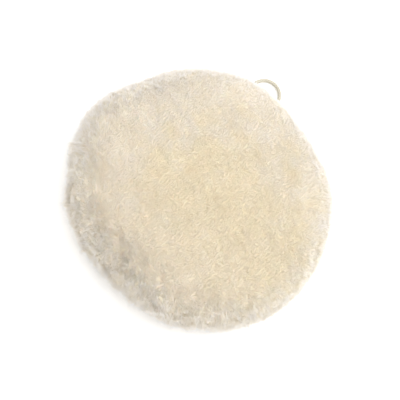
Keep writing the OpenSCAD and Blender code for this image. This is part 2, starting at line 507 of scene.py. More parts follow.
@dataclass(frozen=True)
class SuedeFinish:
    """Flesh side of a tanned sheepskin: a short matt nap with cloudy patches and fine pits."""

    name: str = "suede_hide"
    light: Colour = (0.66, 0.53, 0.36)
    dark: Colour = (0.50, 0.37, 0.23)
    cloud_size: float = 0.012
    nap_size: float = 0.00045
    pit_size: float = 0.0016

    def material(self) -> bpy.types.Material:
        """Builds the hide material."""
        make = Recipe(self.name)
        where = make.place()
        clouds = make.noise(where, self.cloud_size, 5, 0.6)
        nap = make.noise(where, self.nap_size, 4, 0.7)
        pits = make.node("ShaderNodeTexVoronoi", feature="DISTANCE_TO_EDGE")
        make.feed(pits.inputs["Vector"], where)
        pits.inputs["Scale"].default_value = 1 / self.pit_size
        creases = make.ramp(pits.outputs[0], 0.0, 0.12)
        colour = make.blend(make.ramp(clouds, 0.3, 0.7), self.dark, self.light)
        colour = make.blend(make.ramp(nap, 0.3, 0.7, 0.0, 0.35), colour, self.dark)
        height = make.maths("ADD", nap, make.maths("MULTIPLY", creases, 0.6))
        return make.finish(colour, make.ramp(nap, 0.2, 0.8, 0.82, 0.98), make.bump(height, 0.00018, 0.7),
                           Sheen_Weight=0.35, Sheen_Roughness=0.5, Specular_IOR_Level=0.2)


@dataclass(frozen=True)
class TwillFinish:
    """Natural cotton tape: fine diagonal ribs crossed by single yarns, with painted shade in the grooves
    between them.
    """

    name: str = "twill_tape"
    light: Colour = (0.76, 0.70, 0.56)
    # Colour of the painted shade in the grooves, also the darker colour of wear.
    groove: Colour = (0.50, 0.43, 0.31)
    rib: float = 0.0009
    yarn: float = 0.00055
    wear_size: float = 0.006

    def material(self) -> bpy.types.Material:
        """Builds the tape material from the piece's own measures round and across it."""
        make = Recipe(self.name)
        around, across = make.value_of("around"), make.value_of("across")
        slant = make.maths("MULTIPLY", make.maths("ADD", around, across), TURN / self.rib)
        rows = make.maths("MULTIPLY", around, TURN / self.yarn)
        rib = make.ramp(make.maths("SINE", slant), -1, 1)
        yarn = make.ramp(make.maths("SINE", rows), -1, 1)
        height = make.maths("ADD", rib, make.maths("MULTIPLY", yarn, 0.45))
        wear = make.noise(make.place(), self.wear_size, 4)
        # Painted shade: the lower the ribs and yarns, the more of the groove colour.
        colour = make.blend(make.ramp(height, 0.1, 1.1), self.groove, self.light)
        colour = make.blend(make.ramp(wear, 0.35, 0.75, 0.0, 0.4), colour, self.groove)
        return make.finish(colour, make.ramp(height, 0, 1.4, 0.92, 0.74), make.bump(height, 0.00016, 0.8),
                           Sheen_Weight=0.15, Sheen_Roughness=0.5, Specular_IOR_Level=0.25)


@dataclass(frozen=True)
class CottonFinish:
    """Twisted or braided cotton: painted shade between its yarns, with fine fibres along them."""

    name: str
    light: Colour
    # Colour of the painted shade between the yarns, also the darker colour of wear and of the thread's
    # grain.
    groove: Colour
    fibre: float = 0.00025
    wear_size: float = 0.005
    bump_depth: float = 0.00012

    def material(self) -> bpy.types.Material:
        """Builds the cord or thread material from the depth that the piece's vertices carry."""
        make = Recipe(self.name)
        where = make.place()
        lint = make.noise(where, self.fibre, 3, 0.65)
        wear = make.noise(where, self.wear_size, 3)
        depth = make.value_of("groove")
        # Painted shade: the deeper the groove between the yarns, the more of the groove colour.
        colour = make.blend(make.ramp(depth, 0.1, 1.0), self.light, self.groove)
        colour = make.blend(make.ramp(wear, 0.35, 0.75, 0.0, 0.3), colour, self.groove)
        rough = make.maths("ADD", make.ramp(lint, 0.3, 0.7, 0.7, 0.86), make.maths("MULTIPLY", depth, 0.1))
        return make.finish(colour, rough, make.bump(lint, self.bump_depth, 0.6),
                           Sheen_Weight=0.15, Sheen_Roughness=0.5, Specular_IOR_Level=0.3)


@dataclass(frozen=True)
class TableFinish:
    """A plain pale table top with a barely mottled matt surface."""

    name: str = "pale_table"
    light: Colour = (0.93, 0.93, 0.93)
    dark: Colour = (0.91, 0.91, 0.91)
    glow: float = 0.24
    mottle_size: float = 0.05

    def material(self) -> bpy.types.Material:
        """Builds the table material."""
        make = Recipe(self.name)
        mottle = make.noise(make.place(), self.mottle_size, 3)
        return make.finish(make.blend(mottle, self.light, self.dark), make.ramp(mottle, 0.2, 0.8, 0.8, 0.9),
                           make.bump(mottle, 0.0001, 0.1), Specular_IOR_Level=0.1,
                           Emission_Color=(1, 1, 1, 1), Emission_Strength=self.glow)


def dress(piece: bpy.types.Object, material: bpy.types.Material, slot: str, *nodes: str) -> None:
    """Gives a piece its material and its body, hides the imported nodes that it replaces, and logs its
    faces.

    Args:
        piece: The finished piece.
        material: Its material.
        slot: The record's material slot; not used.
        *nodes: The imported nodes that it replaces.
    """
    piece.data.materials.clear()
    piece.data.materials.append(material)
    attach(piece, "root")
    if nodes:
        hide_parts(*nodes)
    log.info("%s: %d faces", piece.name, len(piece.data.polygons))


# ---- Measures and shared soft forms ------------------------------
@dataclass(frozen=True)
class Measures:
    """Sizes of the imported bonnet, read from its nodes, and the few that lie inside them."""

    pile_radius: float
    pile_top: float
    hide_radius: float
    face_level: float
    seat_level: float
    skirt_level: float
    hide_edge_radius: float
    mouth_radius: float
    cord_circle: float
    cord_level: float
    tape_low: float
    tape_high: float
    tape_edge: float
    hide_thickness: float = 0.0016
    tape_thickness: float = 0.0008
    bend: float = 0.008
    top_round: float = 0.023
    low_round: float = 0.020
    exit_width: float = 0.020
    slit_width: float = 0.018
    strip_gap: float = 0.0004
    exit_azimuth: float = math.pi / 2

    @classmethod
    def of_frame(cls) -> "Measures":
        """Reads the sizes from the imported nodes."""
        pile_low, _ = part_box("skirt_pile_2")
        _, face_pile_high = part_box("face_pile")
        hide_low, hide_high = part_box("face_hide")
        skirt_low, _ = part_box("skirt_hide_1")
        tape_low, tape_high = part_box("hem_tape")
        cord_low, cord_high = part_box("drawcord_in_hem")
        thickness = cord_high.z - cord_low.z
        circle = -cord_low.y - thickness / 2
        return cls(
            pile_radius=-pile_low.y, pile_top=face_pile_high.z, hide_radius=hide_high.x,
            face_level=hide_high.z, seat_level=hide_low.z, skirt_level=skirt_low.z,
            hide_edge_radius=circle + 0.0025, mouth_radius=circle - 0.0025,
            cord_circle=circle, cord_level=(cord_low.z + cord_high.z) / 2,
            tape_low=tape_low.z, tape_high=tape_high.z, tape_edge=-tape_low.y,
        )

    @property
    def exit_half_turn(self) -> float:
        """Half the angle of the opening where the cord leaves the hem."""
        return math.asin(self.exit_width / 2 / self.cord_circle)

    @property
    def cavity_radius(self) -> float:
        """Radius of the hollow for the backing pad."""
        return self.hide_radius - self.hide_thickness

    @property
    def bend_at(self) -> tuple[float, float]:
        """Centre of the skirt's bend, as radius and height."""
        return self.cavity_radius - self.bend, self.skirt_level + self.hide_thickness + self.bend

    def join_azimuth(self, strip: int) -> float:
        """Azimuth of the join where a skirt strip begins."""
        return self.exit_azimuth + strip * TURN / STRIPS

    def strip_start(self, strip: int) -> float:
        """Azimuth where a skirt strip's own edge stands, beside the join."""
        return self.join_azimuth(strip) + (TURN / STRIPS - self.strip_sweep) / 2

    @property
    def strip_sweep(self) -> float:
        """Angle of one skirt strip, without the gap beside it."""
        return TURN / STRIPS - 2 * math.asin(self.strip_gap / 2 / self.cavity_radius)


@dataclass(frozen=True)
class Gather:
    """Soft folds that the drawcord pulls into the hem and the hide beside it."""

    measures: Measures
    folds: int = 47
    ripples: int = 108
    sways: int = 35
    rise: float = 0.00042
    ripple_share: float = 0.45
    sway_share: float = 0.55
    full_reach: float = 0.003
    reach: float = 0.013
    flat_half_turn: float = math.radians(8.4)
    calm_half_turn: float = math.radians(13)
    fade_from: float = 0.015
    fade_to: float = 0.02

    def shifted(self, points: np.ndarray) -> np.ndarray:
        """Moves points as the folds do, the same for every piece of the hem.

        Args:
            points: Places of a piece's vertices.

        Returns:
            Their places in the gathered hem.
        """
        radius, azimuth = radius_of(points), azimuth_of(points)
        near_cord = 1 - ease(np.abs(radius - self.measures.cord_circle), self.full_reach, self.reach)
        from_exit = np.abs(turn_between(azimuth, self.measures.exit_azimuth))
        off_exit = ease(from_exit, self.flat_half_turn, self.calm_half_turn)
        low = 1 - ease(points[:, 2], self.fade_from, self.fade_to)
        wave = (np.sin(self.folds * azimuth + 1.3 * np.sin(5 * azimuth))
                + self.ripple_share * np.sin(self.ripples * azimuth + 2.1))
        sway = np.sin(self.sways * azimuth + 0.7)
        weight = near_cord * off_exit * low
        lift = self.rise * wave * weight
        pull = self.sway_share * self.rise * sway * weight
        moved = points.copy()
        moved[:, :2] *= ((radius + pull) / np.maximum(radius, 1e-9))[:, None]
        moved[:, 2] += lift
        return moved


class ThreadShape:
    """One short length of thread or fibre, modelled once along +Z and then copied in bulk."""

    POINT_THINNING = 0.55
    BLUNT_END = 0.55
    CELL_MARGIN = 0.1

    def __init__(self, sides: int, segments: int, pointed: bool) -> None:
        """Models the master length.

        Args:
            sides: Number of sides round it.
            segments: Number of lengths that it can bend between.
            pointed: Whether it runs out to a point, and not to a rounded end.
        """
        deselect_all()
        if pointed:
            bpy.ops.mesh.primitive_cone_add(vertices=sides, radius1=1, radius2=0, depth=1)
        else:
            bpy.ops.mesh.primitive_cylinder_add(vertices=sides, radius=1, depth=1)
        master = bpy.context.object
        with editing(master):
            for cut in range(1, segments):
                bpy.ops.mesh.select_all(action="SELECT")
                bpy.ops.mesh.bisect(plane_co=(0, 0, cut / segments - 0.5), plane_no=(0, 0, 1))
            bpy.ops.mesh.select_all(action="SELECT")
            bpy.ops.mesh.quads_convert_to_tris()
            turn_outwards()
        points = mesh_points(master)
        self.along = np.round(points[:, 2] + 0.5, 6)
        size = np.maximum(radius_of(points), 1e-9)[:, None]
        self.across = np.where(size > 1e-6, points[:, :2] / size, 0)
        self.triangles = np.array([tuple(face.vertices) for face in master.data.polygons])
        if pointed:
            self.taper = np.where(self.along > 0.999, 0.0, 1 - self.POINT_THINNING * self.along ** 2)
        else:
            self.taper = np.where((self.along < 0.001) | (self.along > 0.999), self.BLUNT_END, 1.0)
        discard(master)

    def copies(
        self, name: str, roots: np.ndarray, bends: np.ndarray, tips: np.ndarray, radius: object,
        draw: np.random.Generator, tones: np.ndarray | None = None,
    ) -> bpy.types.Object:
        """Lays a copy along each curve from a root past a bend to a tip.

        Args:
            name: The piece's name.
            roots: Where each copy starts.
            bends: The point that each copy bends towards.
            tips: Where each copy ends.
            radius: Radius of the thread, or one for each copy.
            draw: Random draws for the turn of each copy about itself.
            tones: A number for each copy that its colour follows.

        Returns:
            One piece of all the copies, with their measures along and their own places on a map.
        """
        t = self.along[None, :, None]
        points = (1 - t) ** 2 * roots[:, None] + 2 * t * (1 - t) * bends[:, None] + t ** 2 * tips[:, None]
        chord = unit_rows(tips - roots)
        level = np.where(np.abs(chord[:, 2:]) > 0.9, np.array((1.0, 0, 0)), UP)
        side = unit_rows(np.cross(chord, level))
        over = np.cross(side, chord)
        turn = draw.uniform(0, TURN, len(roots))[:, None]
        first = np.cos(turn) * side - np.sin(turn) * over
        second = np.sin(turn) * side + np.cos(turn) * over
        wide = (np.broadcast_to(radius, len(roots))[:, None] * self.taper)[:, :, None]
        points = points + wide * self.across[None, :, :1] * first[:, None]
        points = points - wide * self.across[None, :, 1:] * second[:, None]
        count, size = len(roots), len(self.along)
        triangles = (self.triangles[None] + size * np.arange(count)[:, None, None]).reshape(-1, 3)
        piece = bulk_mesh(name, points.reshape(-1, 3), triangles)
        set_vertex_value(piece, "along", np.tile(self.along, count))
        if tones is None:
            tones = draw.uniform(0, 1, count)
        set_vertex_value(piece, "tone", np.repeat(tones, size))
        self.lay_out_map(piece, count)
        return piece

    def lay_out_map(self, piece: bpy.types.Object, count: int) -> None:
        """Gives each copy its own cell of a map that its finish can be baked onto.

        Args:
            piece: The piece of all the copies.
            count: Number of copies.
        """
        cells = math.ceil(math.sqrt(count))
        corner = self.triangles.ravel()
        around = np.arctan2(self.across[:, 1], self.across[:, 0]) / TURN + 0.5
        local_u = 0.2 + 0.6 * around[corner] + np.tile((0.0, 0.08, 0.04), len(self.triangles))
        local_v = 0.15 + 0.7 * self.along[corner]
        cell = np.arange(count)
        u = (cell % cells)[:, None] + np.clip(local_u, self.CELL_MARGIN, 1 - self.CELL_MARGIN)[None]
        v = (cell // cells)[:, None] + local_v[None]
        layer = piece.data.uv_layers.new(name="OFBake")
        layer.data.foreach_set("uv", (np.stack((u, v), 2) / cells).astype(np.float32).ravel())


# ---- Drawcord ----------------------------------------------------
def smooth_route(corners: np.ndarray, step: float) -> np.ndarray:
    """Runs a smooth curve through a route's points.

    Args:
        corners: The route's points.
        step: Distance between the points of the curve.

    Returns:
        Evenly spaced points on the curve.
    """
    ends = np.concatenate((2 * corners[:1] - corners[1:2], corners, 2 * corners[-1:] - corners[-2:-1]))
    t = np.linspace(0, 1, 24, endpoint=False)[:, None]
    runs = []
    for a, b, c, d in zip(ends, ends[1:], ends[2:], ends[3:]):
        runs.append(0.5 * (2 * b + (c - a) * t + (2 * a - 5 * b + 4 * c - d) * t ** 2
                           + (3 * b - a - 3 * c + d) * t ** 3))
    fine = np.concatenate((*runs, corners[-1:]))
    gone = gone_along(fine)
    even = np.linspace(0, gone[-1], max(2, 1 + round(gone[-1] / step)))
    return np.stack([np.interp(even, gone, fine[:, axis]) for axis in range(3)], 1)


@dataclass(frozen=True)
class Braid:
    """A round cotton braid: its thickness and the yarns that cross round it."""

    thickness: float
    sides: int = 28
    ring_step: float = 0.0004
    crossings: int = 4
    pitch: float = 0.0105
    relief: float = 0.00022
    crown: float = 0.3
    groove_depth: float = 3.2
    end_share: float = 0.6
    end_size: float = 0.16
    weld_reach: float = 1e-7

    @staticmethod
    def frames_along(path: np.ndarray) -> tuple[np.ndarray, np.ndarray]:
        """Two directions square to a path at each of its points, carried along it without a twist."""
        along = unit_rows(np.gradient(path, axis=0))
        sides = np.empty_like(path)
        side = unit_rows(np.cross(along[:1], UP))[0]
        for i, heading in enumerate(along):
            side = side - heading * side.dot(heading)
            side = side / np.linalg.norm(side)
            sides[i] = side
        return sides, np.cross(sides, along)

    def closed_up(self, piece: bpy.types.Object) -> None:
        """Welds a rolled sheet along its length and closes its two ends with fans of triangles."""
        with editing(piece):
            bpy.ops.mesh.remove_doubles(threshold=self.weld_reach)
            bpy.ops.mesh.select_all(action="DESELECT")
            bpy.ops.mesh.select_mode(type="EDGE")
            bpy.ops.mesh.select_non_manifold()
            bpy.ops.mesh.edge_face_add()
            bpy.ops.mesh.select_all(action="DESELECT")
            work = bmesh.from_edit_mesh(piece.data)
            for face in work.faces:
                face.select = len(face.verts) > 4
            bmesh.update_edit_mesh(piece.data)
            bpy.ops.mesh.poke()
            turn_outwards()
            bpy.ops.mesh.select_mode(type="VERT")

    def tube(self, name: str, path: np.ndarray, rounded: bool = True) -> bpy.types.Object:
        """Models the cord along a path: a flat sheet rolled into a tube, with its yarns raised.

        Args:
            name: The piece's name.
            path: Points that the cord follows.
            rounded: Whether the two ends are drawn in to a blunt end.

        Returns:
            The closed tube, which carries the depth between its yarns.
        """
        path = smooth_route(path, self.ring_step)
        rings = len(path)
        deselect_all()
        bpy.ops.mesh.primitive_grid_add(x_subdivisions=self.sides, y_subdivisions=rings - 1, size=2)
        piece = bpy.context.object
        piece.name = piece.data.name = name
        flat = mesh_points(piece)
        column = np.rint((flat[:, 0] + 1) / 2 * self.sides).astype(int)
        row = np.rint((flat[:, 1] + 1) / 2 * (rings - 1)).astype(int)
        sides, overs = self.frames_along(path)
        gone = gone_along(path)
        angle = TURN * (column % self.sides) / self.sides
        twist = TURN * gone[row] / self.pitch
        left, right = (np.abs(np.cos(self.crossings * (angle + lay * twist) / 2)) for lay in (1, -1))
        depth = 1 - np.maximum(left, right)
        radius = self.thickness / 2 + self.crown * self.relief - self.relief * self.groove_depth * depth
        if rounded:
            near_end = np.minimum(gone[row], gone[-1] - gone[row])
            share = np.clip(near_end / (self.end_share * self.thickness), 0, 1)
            radius = radius * np.sqrt(share * (1 - self.end_size) + self.end_size)
        place = (path[row] + (radius * np.cos(angle))[:, None] * sides[row]
                 + (radius * np.sin(angle))[:, None] * overs[row])
        set_mesh_points(piece, place)
        # The depth between the yarns, which the cord's finish paints as shade.
        set_vertex_value(piece, "groove", np.clip(depth * self.groove_depth, 0, 1))
        self.closed_up(piece)
        piece.data.shade_smooth()
        return piece


@dataclass
class Drawcord:
    """The cord that ties the bonnet: a loop pulled out of the hem, a short end, their knot and two tails."""

    measures: Measures
    gather: Gather
    finish: CottonFinish
    thickness: float = 0.003
    overlap: float = 0.003
    route_step: float = 0.002
    knot_size: float = 0.0084
    knot_strand: float = 0.0026
    knot_turn: float = 0.4
    stopper_size: float = 0.0056
    stopper_strand: float = 0.0018
    fray_yarns: int = 26
    fray_thickness: float = 0.00022
    fray_root: float = 0.0012
    fray_reach: tuple[float, float] = (0.0042, 0.0062)
    fray_spread: float = 0.35
    fray_bend: float = 0.0005
    fray_clear: float = 0.0003
    #: Routes are counted outwards from the middle of the hem's channel.
    loop: tuple[Place, ...] = (
        (-0.0076, 0.0001, 0.0098), (-0.005, 0.0027, 0.0094), (-0.004, 0.006, 0.0085),
        (-0.004, 0.0095, 0.0068), (-0.004, 0.013, 0.0048), (-0.004, 0.017, 0.003),
        (-0.0042, 0.0215, 0.002), (-0.0054, 0.0265, 0.0016), (-0.0076, 0.0325, 0.0016),
        (-0.0102, 0.0386, 0.0016), (-0.0125, 0.0446, 0.0016), (-0.014, 0.0504, 0.0016),
        (-0.0141, 0.0562, 0.0016), (-0.0118, 0.0622, 0.0016), (-0.0072, 0.0668, 0.0016),
        (-0.0013, 0.0685, 0.0016), (0.0042, 0.0669, 0.0016), (0.0082, 0.0626, 0.0016),
        (0.0102, 0.057, 0.0016), (0.0106, 0.0514, 0.0016), (0.010, 0.046, 0.0018),
        (0.0082, 0.041, 0.0028), (0.006, 0.0368, 0.0038),
    )
    short_end: tuple[Place, ...] = (
        (0.0076, 0.0001, 0.0098), (0.005, 0.0027, 0.0094), (0.004, 0.006, 0.0085), (0.004, 0.0095, 0.007),
        (0.004, 0.0135, 0.0052), (0.004, 0.018, 0.0038), (0.0042, 0.0225, 0.0032), (0.0044, 0.0275, 0.0034),
        (0.0045, 0.0325, 0.004),
    )
    knot_at: Place = (0.0045, 0.0345, 0.0042)
    tail_right: tuple[Place, ...] = (
        (0.007, 0.0335, 0.0036), (0.010, 0.0323, 0.0023), (0.014, 0.032, 0.0016), (0.019, 0.033, 0.0016),
        (0.024, 0.0335, 0.0016), (0.0285, 0.033, 0.002),
    )
    tail_middle: tuple[Place, ...] = (
        (0.0026, 0.0367, 0.0036), (0.0002, 0.039, 0.0023), (-0.0016, 0.042, 0.0017),
        (-0.0022, 0.0445, 0.0021),
    )
    stopper_right_at: Place = (0.030, 0.0325, 0.0028)
    stopper_middle_at: Place = (-0.0024, 0.0455, 0.0028)

    def outside(self, route: object) -> np.ndarray:
        """Puts a route, counted from the channel's middle line, where it belongs."""
        return np.atleast_2d(np.array(route, float)) + (0, self.measures.cord_circle, 0)

    def hem_end(self, side: int) -> np.ndarray:
        """Place where the cord leaves the hem, on the left (-1) or the right (1)."""
        m = self.measures
        out = m.cord_circle * math.cos(m.exit_half_turn)
        return np.array([[side * m.cord_circle * math.sin(m.exit_half_turn), out, m.cord_level]])

    def knotted(self, name: str, at: object, size: float, strand: float, turn: float) -> bpy.types.Object:
        """Models an overhand knot, pulled tight round its own crossing.

        Args:
            name: The piece's name.
            at: The knot's middle.
            size: Distance across it.
            strand: Thickness of the cord in it.
            turn: Angle that it is turned by about the upright.

        Returns:
            The knot.
        """
        t = np.linspace(0, TURN, 72, endpoint=False)
        coil = np.stack((np.sin(t) + 2 * np.sin(2 * t), np.cos(t) - 2 * np.cos(2 * t),
                         -1.25 * np.sin(3 * t)), 1)
        reach = (size - strand) / 2 / 3
        cos, sin = math.cos(turn), math.sin(turn)
        spin = np.array(((cos, -sin, 0), (sin, cos, 0), (0, 0, 1)))
        path = self.outside(at) + (coil * (reach, reach * 0.94, reach * 1.1)) @ spin.T
        path = np.concatenate((path, path[:1]))
        braid = Braid(strand, sides=20, pitch=strand * 3.4, relief=strand * 0.07)
        return braid.tube(name, path, rounded=False)

    def build(self) -> None:
        material = self.finish.material()
        braid = Braid(self.thickness)
        loop_path, short_path = (
            smooth_route(np.concatenate((self.hem_end(side), self.outside(route))), self.route_step)
            for side, route in ((-1, self.loop), (1, self.short_end)))
        loop = braid.tube("cord_loop", loop_path)
        short = braid.tube("cord_short_end", short_path)
        knot = self.knotted("cord_knot", self.knot_at, self.knot_size, self.knot_strand, self.knot_turn)
        for side, route in (("right", self.tail_right), ("middle", self.tail_middle)):
            tail = braid.tube(f"cord_tail_{side}", self.outside(route))
            dress(tail, material, "cord", f"drawcord_tail_{side}")
        stoppers = (("right", self.stopper_right_at, 0.9), ("middle", self.stopper_middle_at, 2.2))
        for side, at, turn in stoppers:
            stopper = self.knotted(f"cord_stopper_{side}", at, self.stopper_size, self.stopper_strand, turn)
            dress(stopper, material, "cord", "tail_stopper_knots")
        self.frayed_ends(material)
        self.in_hem(loop_path, short_path, material)
        dress(loop, material, "cord", "drawcord_loop")
        dress(short, material, "cord", "drawcord_short_end")
        dress(knot, material, "cord", "drawcord_knot")

    def in_hem(self, loop_path: np.ndarray, short_path: np.ndarray, material: bpy.types.Material) -> None:
        """Models the cord's hidden run through the hem, from the loop's start round to the short end's.

        Args:
            loop_path: The loop's points.
            short_path: The short end's points.
            material: The cord's material.
        """
        m = self.measures
        sweep = TURN - 2 * m.exit_half_turn
        azimuths = m.exit_azimuth + m.exit_half_turn + np.linspace(0, sweep, 300)
        run = round_axis(m.cord_circle, azimuths, np.full(len(azimuths), m.cord_level))
        near = [smooth_route(path, self.overlap / 3)[1:4] for path in (loop_path, short_path)]
        path = np.concatenate((near[0][::-1], self.gather.shifted(run), near[1]))
        braid = Braid(self.thickness, sides=20, ring_step=0.0007)
        dress(braid.tube("cord_in_hem", path), material, "cord", "drawcord_in_hem")

    def frayed_ends(self, material: bpy.types.Material) -> bpy.types.Object:
        """Models the loose yarns that stand out of the two stoppers."""
        draw = np.random.default_rng(31)
        starts, ends = [], []
        ways = ((self.stopper_right_at, (1.0, -0.1, 0)), (self.stopper_middle_at, (-0.2, 1.0, 0)))
        for at, heading in ways:
            middle = self.outside(at)[0]
            for _ in range(self.fray_yarns):
                spread = np.array(heading) + draw.normal(0, self.fray_spread, 3)
                spread = spread / np.linalg.norm(spread)
                starts.append(middle + spread * self.fray_root)
                tip = middle + spread * draw.uniform(*self.fray_reach)
                tip[2] = max(tip[2], self.fray_clear)
                ends.append(tip)
        roots, tips = np.array(starts), np.array(ends)
        bends = (roots + tips) / 2 + draw.normal(0, self.fray_bend, roots.shape)
        bends[:, 2] = np.maximum(bends[:, 2], self.fray_clear + 0.0001)
        yarn = ThreadShape(5, 3, True)
        yarns = yarn.copies("cord_frayed_ends", roots, bends, tips, self.fray_thickness, draw)
        set_vertex_value(yarns, "groove", np.full(len(yarns.data.vertices), 0.15))
        dress(yarns, material, "cord")
        return yarns


# ---- Hides, hem tape and stitches --------------------------------
@dataclass
class Hides:
    """The sheepskin itself: the face's disc and the skirt's three strips, turned in under the pad's edge."""

    measures: Measures
    gather: Gather
    finish: SuedeFinish
    skive_depth: float = 0.0004
    skive_width: float = 0.0031
    unevenness: float = 0.00008
    axis_clear: float = 0.001
    notch_round: float = 0.0012
    bend_points: int = 13
    step: float = 0.0022
    strip_steps: int = 216
    face_steps: int = 220

    def uneven(self, piece: bpy.types.Object) -> None:
        """Gives a hide the slight hollows and swells of tanned skin, and gathers its inner edge."""
        points = mesh_points(piece)
        swell = self.unevenness * SoftNoise(0.007, 51).at(points)
        sink = self.unevenness * SoftNoise(0.009, 52).at(points)
        out = unit_rows(points * LEVEL) * (radius_of(points) > self.axis_clear)[:, None]
        set_mesh_points(piece, self.gather.shifted(points + out * swell[:, None] + UP * sink[:, None]))

    def face_outline(self) -> np.ndarray:
        """Half section of the face's disc, thinned along its edge where the skirt is sewn to it."""
        m = self.measures
        edge, band = m.hide_radius, m.hide_radius - self.skive_width
        thinned = m.seat_level + self.skive_depth
        return joined(
            straight((0, m.face_level), (edge, m.face_level), self.step),
            straight((edge, m.face_level), (edge, thinned), 0.0006),
            straight((edge, thinned), (band, thinned), 0.0008),
            straight((band, thinned), (band - self.skive_depth, m.seat_level), 0.0004),
            straight((band - self.skive_depth, m.seat_level), (0, m.seat_level), self.step),
        )

    def skirt_outline(self) -> np.ndarray:
        """Half section of a skirt strip: its wall, the bend and the part turned in under the pad."""
        m = self.measures
        low, high, top = m.skirt_level, m.skirt_level + m.hide_thickness, m.seat_level + self.skive_depth
        bend_at = m.bend_at
        return joined(
            straight((m.hide_edge_radius, low), (bend_at[0], low), self.step),
            arc(bend_at, m.bend + m.hide_thickness, -90, 0, self.bend_points),
            straight((m.hide_radius, bend_at[1]), (m.hide_radius, top), self.step),
            straight((m.hide_radius, top), (m.cavity_radius, top), 0.0008),
            straight((m.cavity_radius, top), (m.cavity_radius, bend_at[1]), self.step),
            arc(bend_at, m.bend, 0, -90, self.bend_points),
            straight((bend_at[0], high), (m.hide_edge_radius, high), self.step),
            straight((m.hide_edge_radius, high), (m.hide_edge_radius, low), 0.0008),
        )

    def notched(self, piece: bpy.types.Object) -> None:
        """Cuts the notch in a strip's inner edge where the drawcord leaves the hem."""
        m = self.measures
        deselect_all()
        bpy.ops.mesh.primitive_cube_add(size=1, location=(0, m.tape_edge / 2, m.skirt_level),
                                        scale=(m.exit_width, m.tape_edge, 4 * m.hide_thickness))
        cutter = bpy.context.object
        with editing(cutter):
            bpy.ops.mesh.bevel(offset=self.notch_round, segments=3, affect="EDGES")
        apply_modifier(piece, "BOOLEAN", object=cutter, operation="DIFFERENCE", solver="EXACT")
        discard(cutter)

    def build(self) -> None:
        m = self.measures
        material = self.finish.material()
        face = spun_body("hide_disc", self.face_outline(), 0.0, TURN, self.face_steps)
        self.uneven(face)
        smooth(face)
        dress(face, material, "hide", "face_hide")
        outline = self.skirt_outline()
        for strip in range(STRIPS):
            name = f"skirt_hide_strip_{strip + 1}"
            piece = spun_body(name, outline, m.strip_start(strip), m.strip_sweep, self.strip_steps)
            if strip != 1:
                self.notched(piece)
            self.uneven(piece)
            smooth(piece)
            dress(piece, material, "hide", f"skirt_hide_{strip + 1}")


@dataclass
class HemTape:
    """The folded tape that binds the hide's inner edge and forms the drawcord's channel."""

    measures: Measures
    gather: Gather
    finish: TwillFinish
    fold: float = 0.0010
    fold_points: int = 4
    step: float = 0.0015
    turn_steps: int = 620

    def centreline(self) -> np.ndarray:
        """Half section of the tape's middle: from its upper edge round the channel to its lower edge."""
        m, fold, count = self.measures, self.fold, self.fold_points
        half = m.tape_thickness / 2
        upper = m.skirt_level + m.hide_thickness + half
        lower = m.skirt_level - half
        near, far = m.hide_edge_radius - half, m.mouth_radius + half
        top, bottom = m.tape_high - half, m.tape_low + half
        return joined(
            straight((m.tape_edge, upper), (near + fold, upper), self.step),
            arc((near + fold, upper + fold), fold, -90, -180, count),
            arc((near - fold, top - fold), fold, 0, 90, count),
            arc((far + fold, top - fold), fold, 90, 180, count),
            straight((far, top - fold), (far, bottom + fold), self.step),
            arc((far + fold, bottom + fold), fold, 180, 270, count),
            arc((near - fold, bottom + fold), fold, -90, 0, count),
            arc((near + fold, lower - fold), fold, 180, 90, count),
            straight((near + fold, lower), (m.tape_edge, lower), self.step),
        )

    def build(self) -> None:
        m = self.measures
        line = self.centreline()
        start, sweep = m.exit_azimuth + m.exit_half_turn, TURN - 2 * m.exit_half_turn
        piece = spun_body("hem_channel_tape", line, start, sweep, self.turn_steps, closed=False)
        apply_modifier(piece, "SOLIDIFY", thickness=m.tape_thickness, offset=0.0, use_even_offset=True)
        points = mesh_points(piece)
        set_vertex_value(piece, "around", ((azimuth_of(points) - m.exit_azimuth) % TURN) * m.cord_circle)
        set_vertex_value(piece, "across", radius_of(points) + points[:, 2])
        set_mesh_points(piece, self.gather.shifted(points))
        close_and_face_outwards(piece)
        smooth(piece)
        dress(piece, self.finish.material(), "tape", "hem_tape")


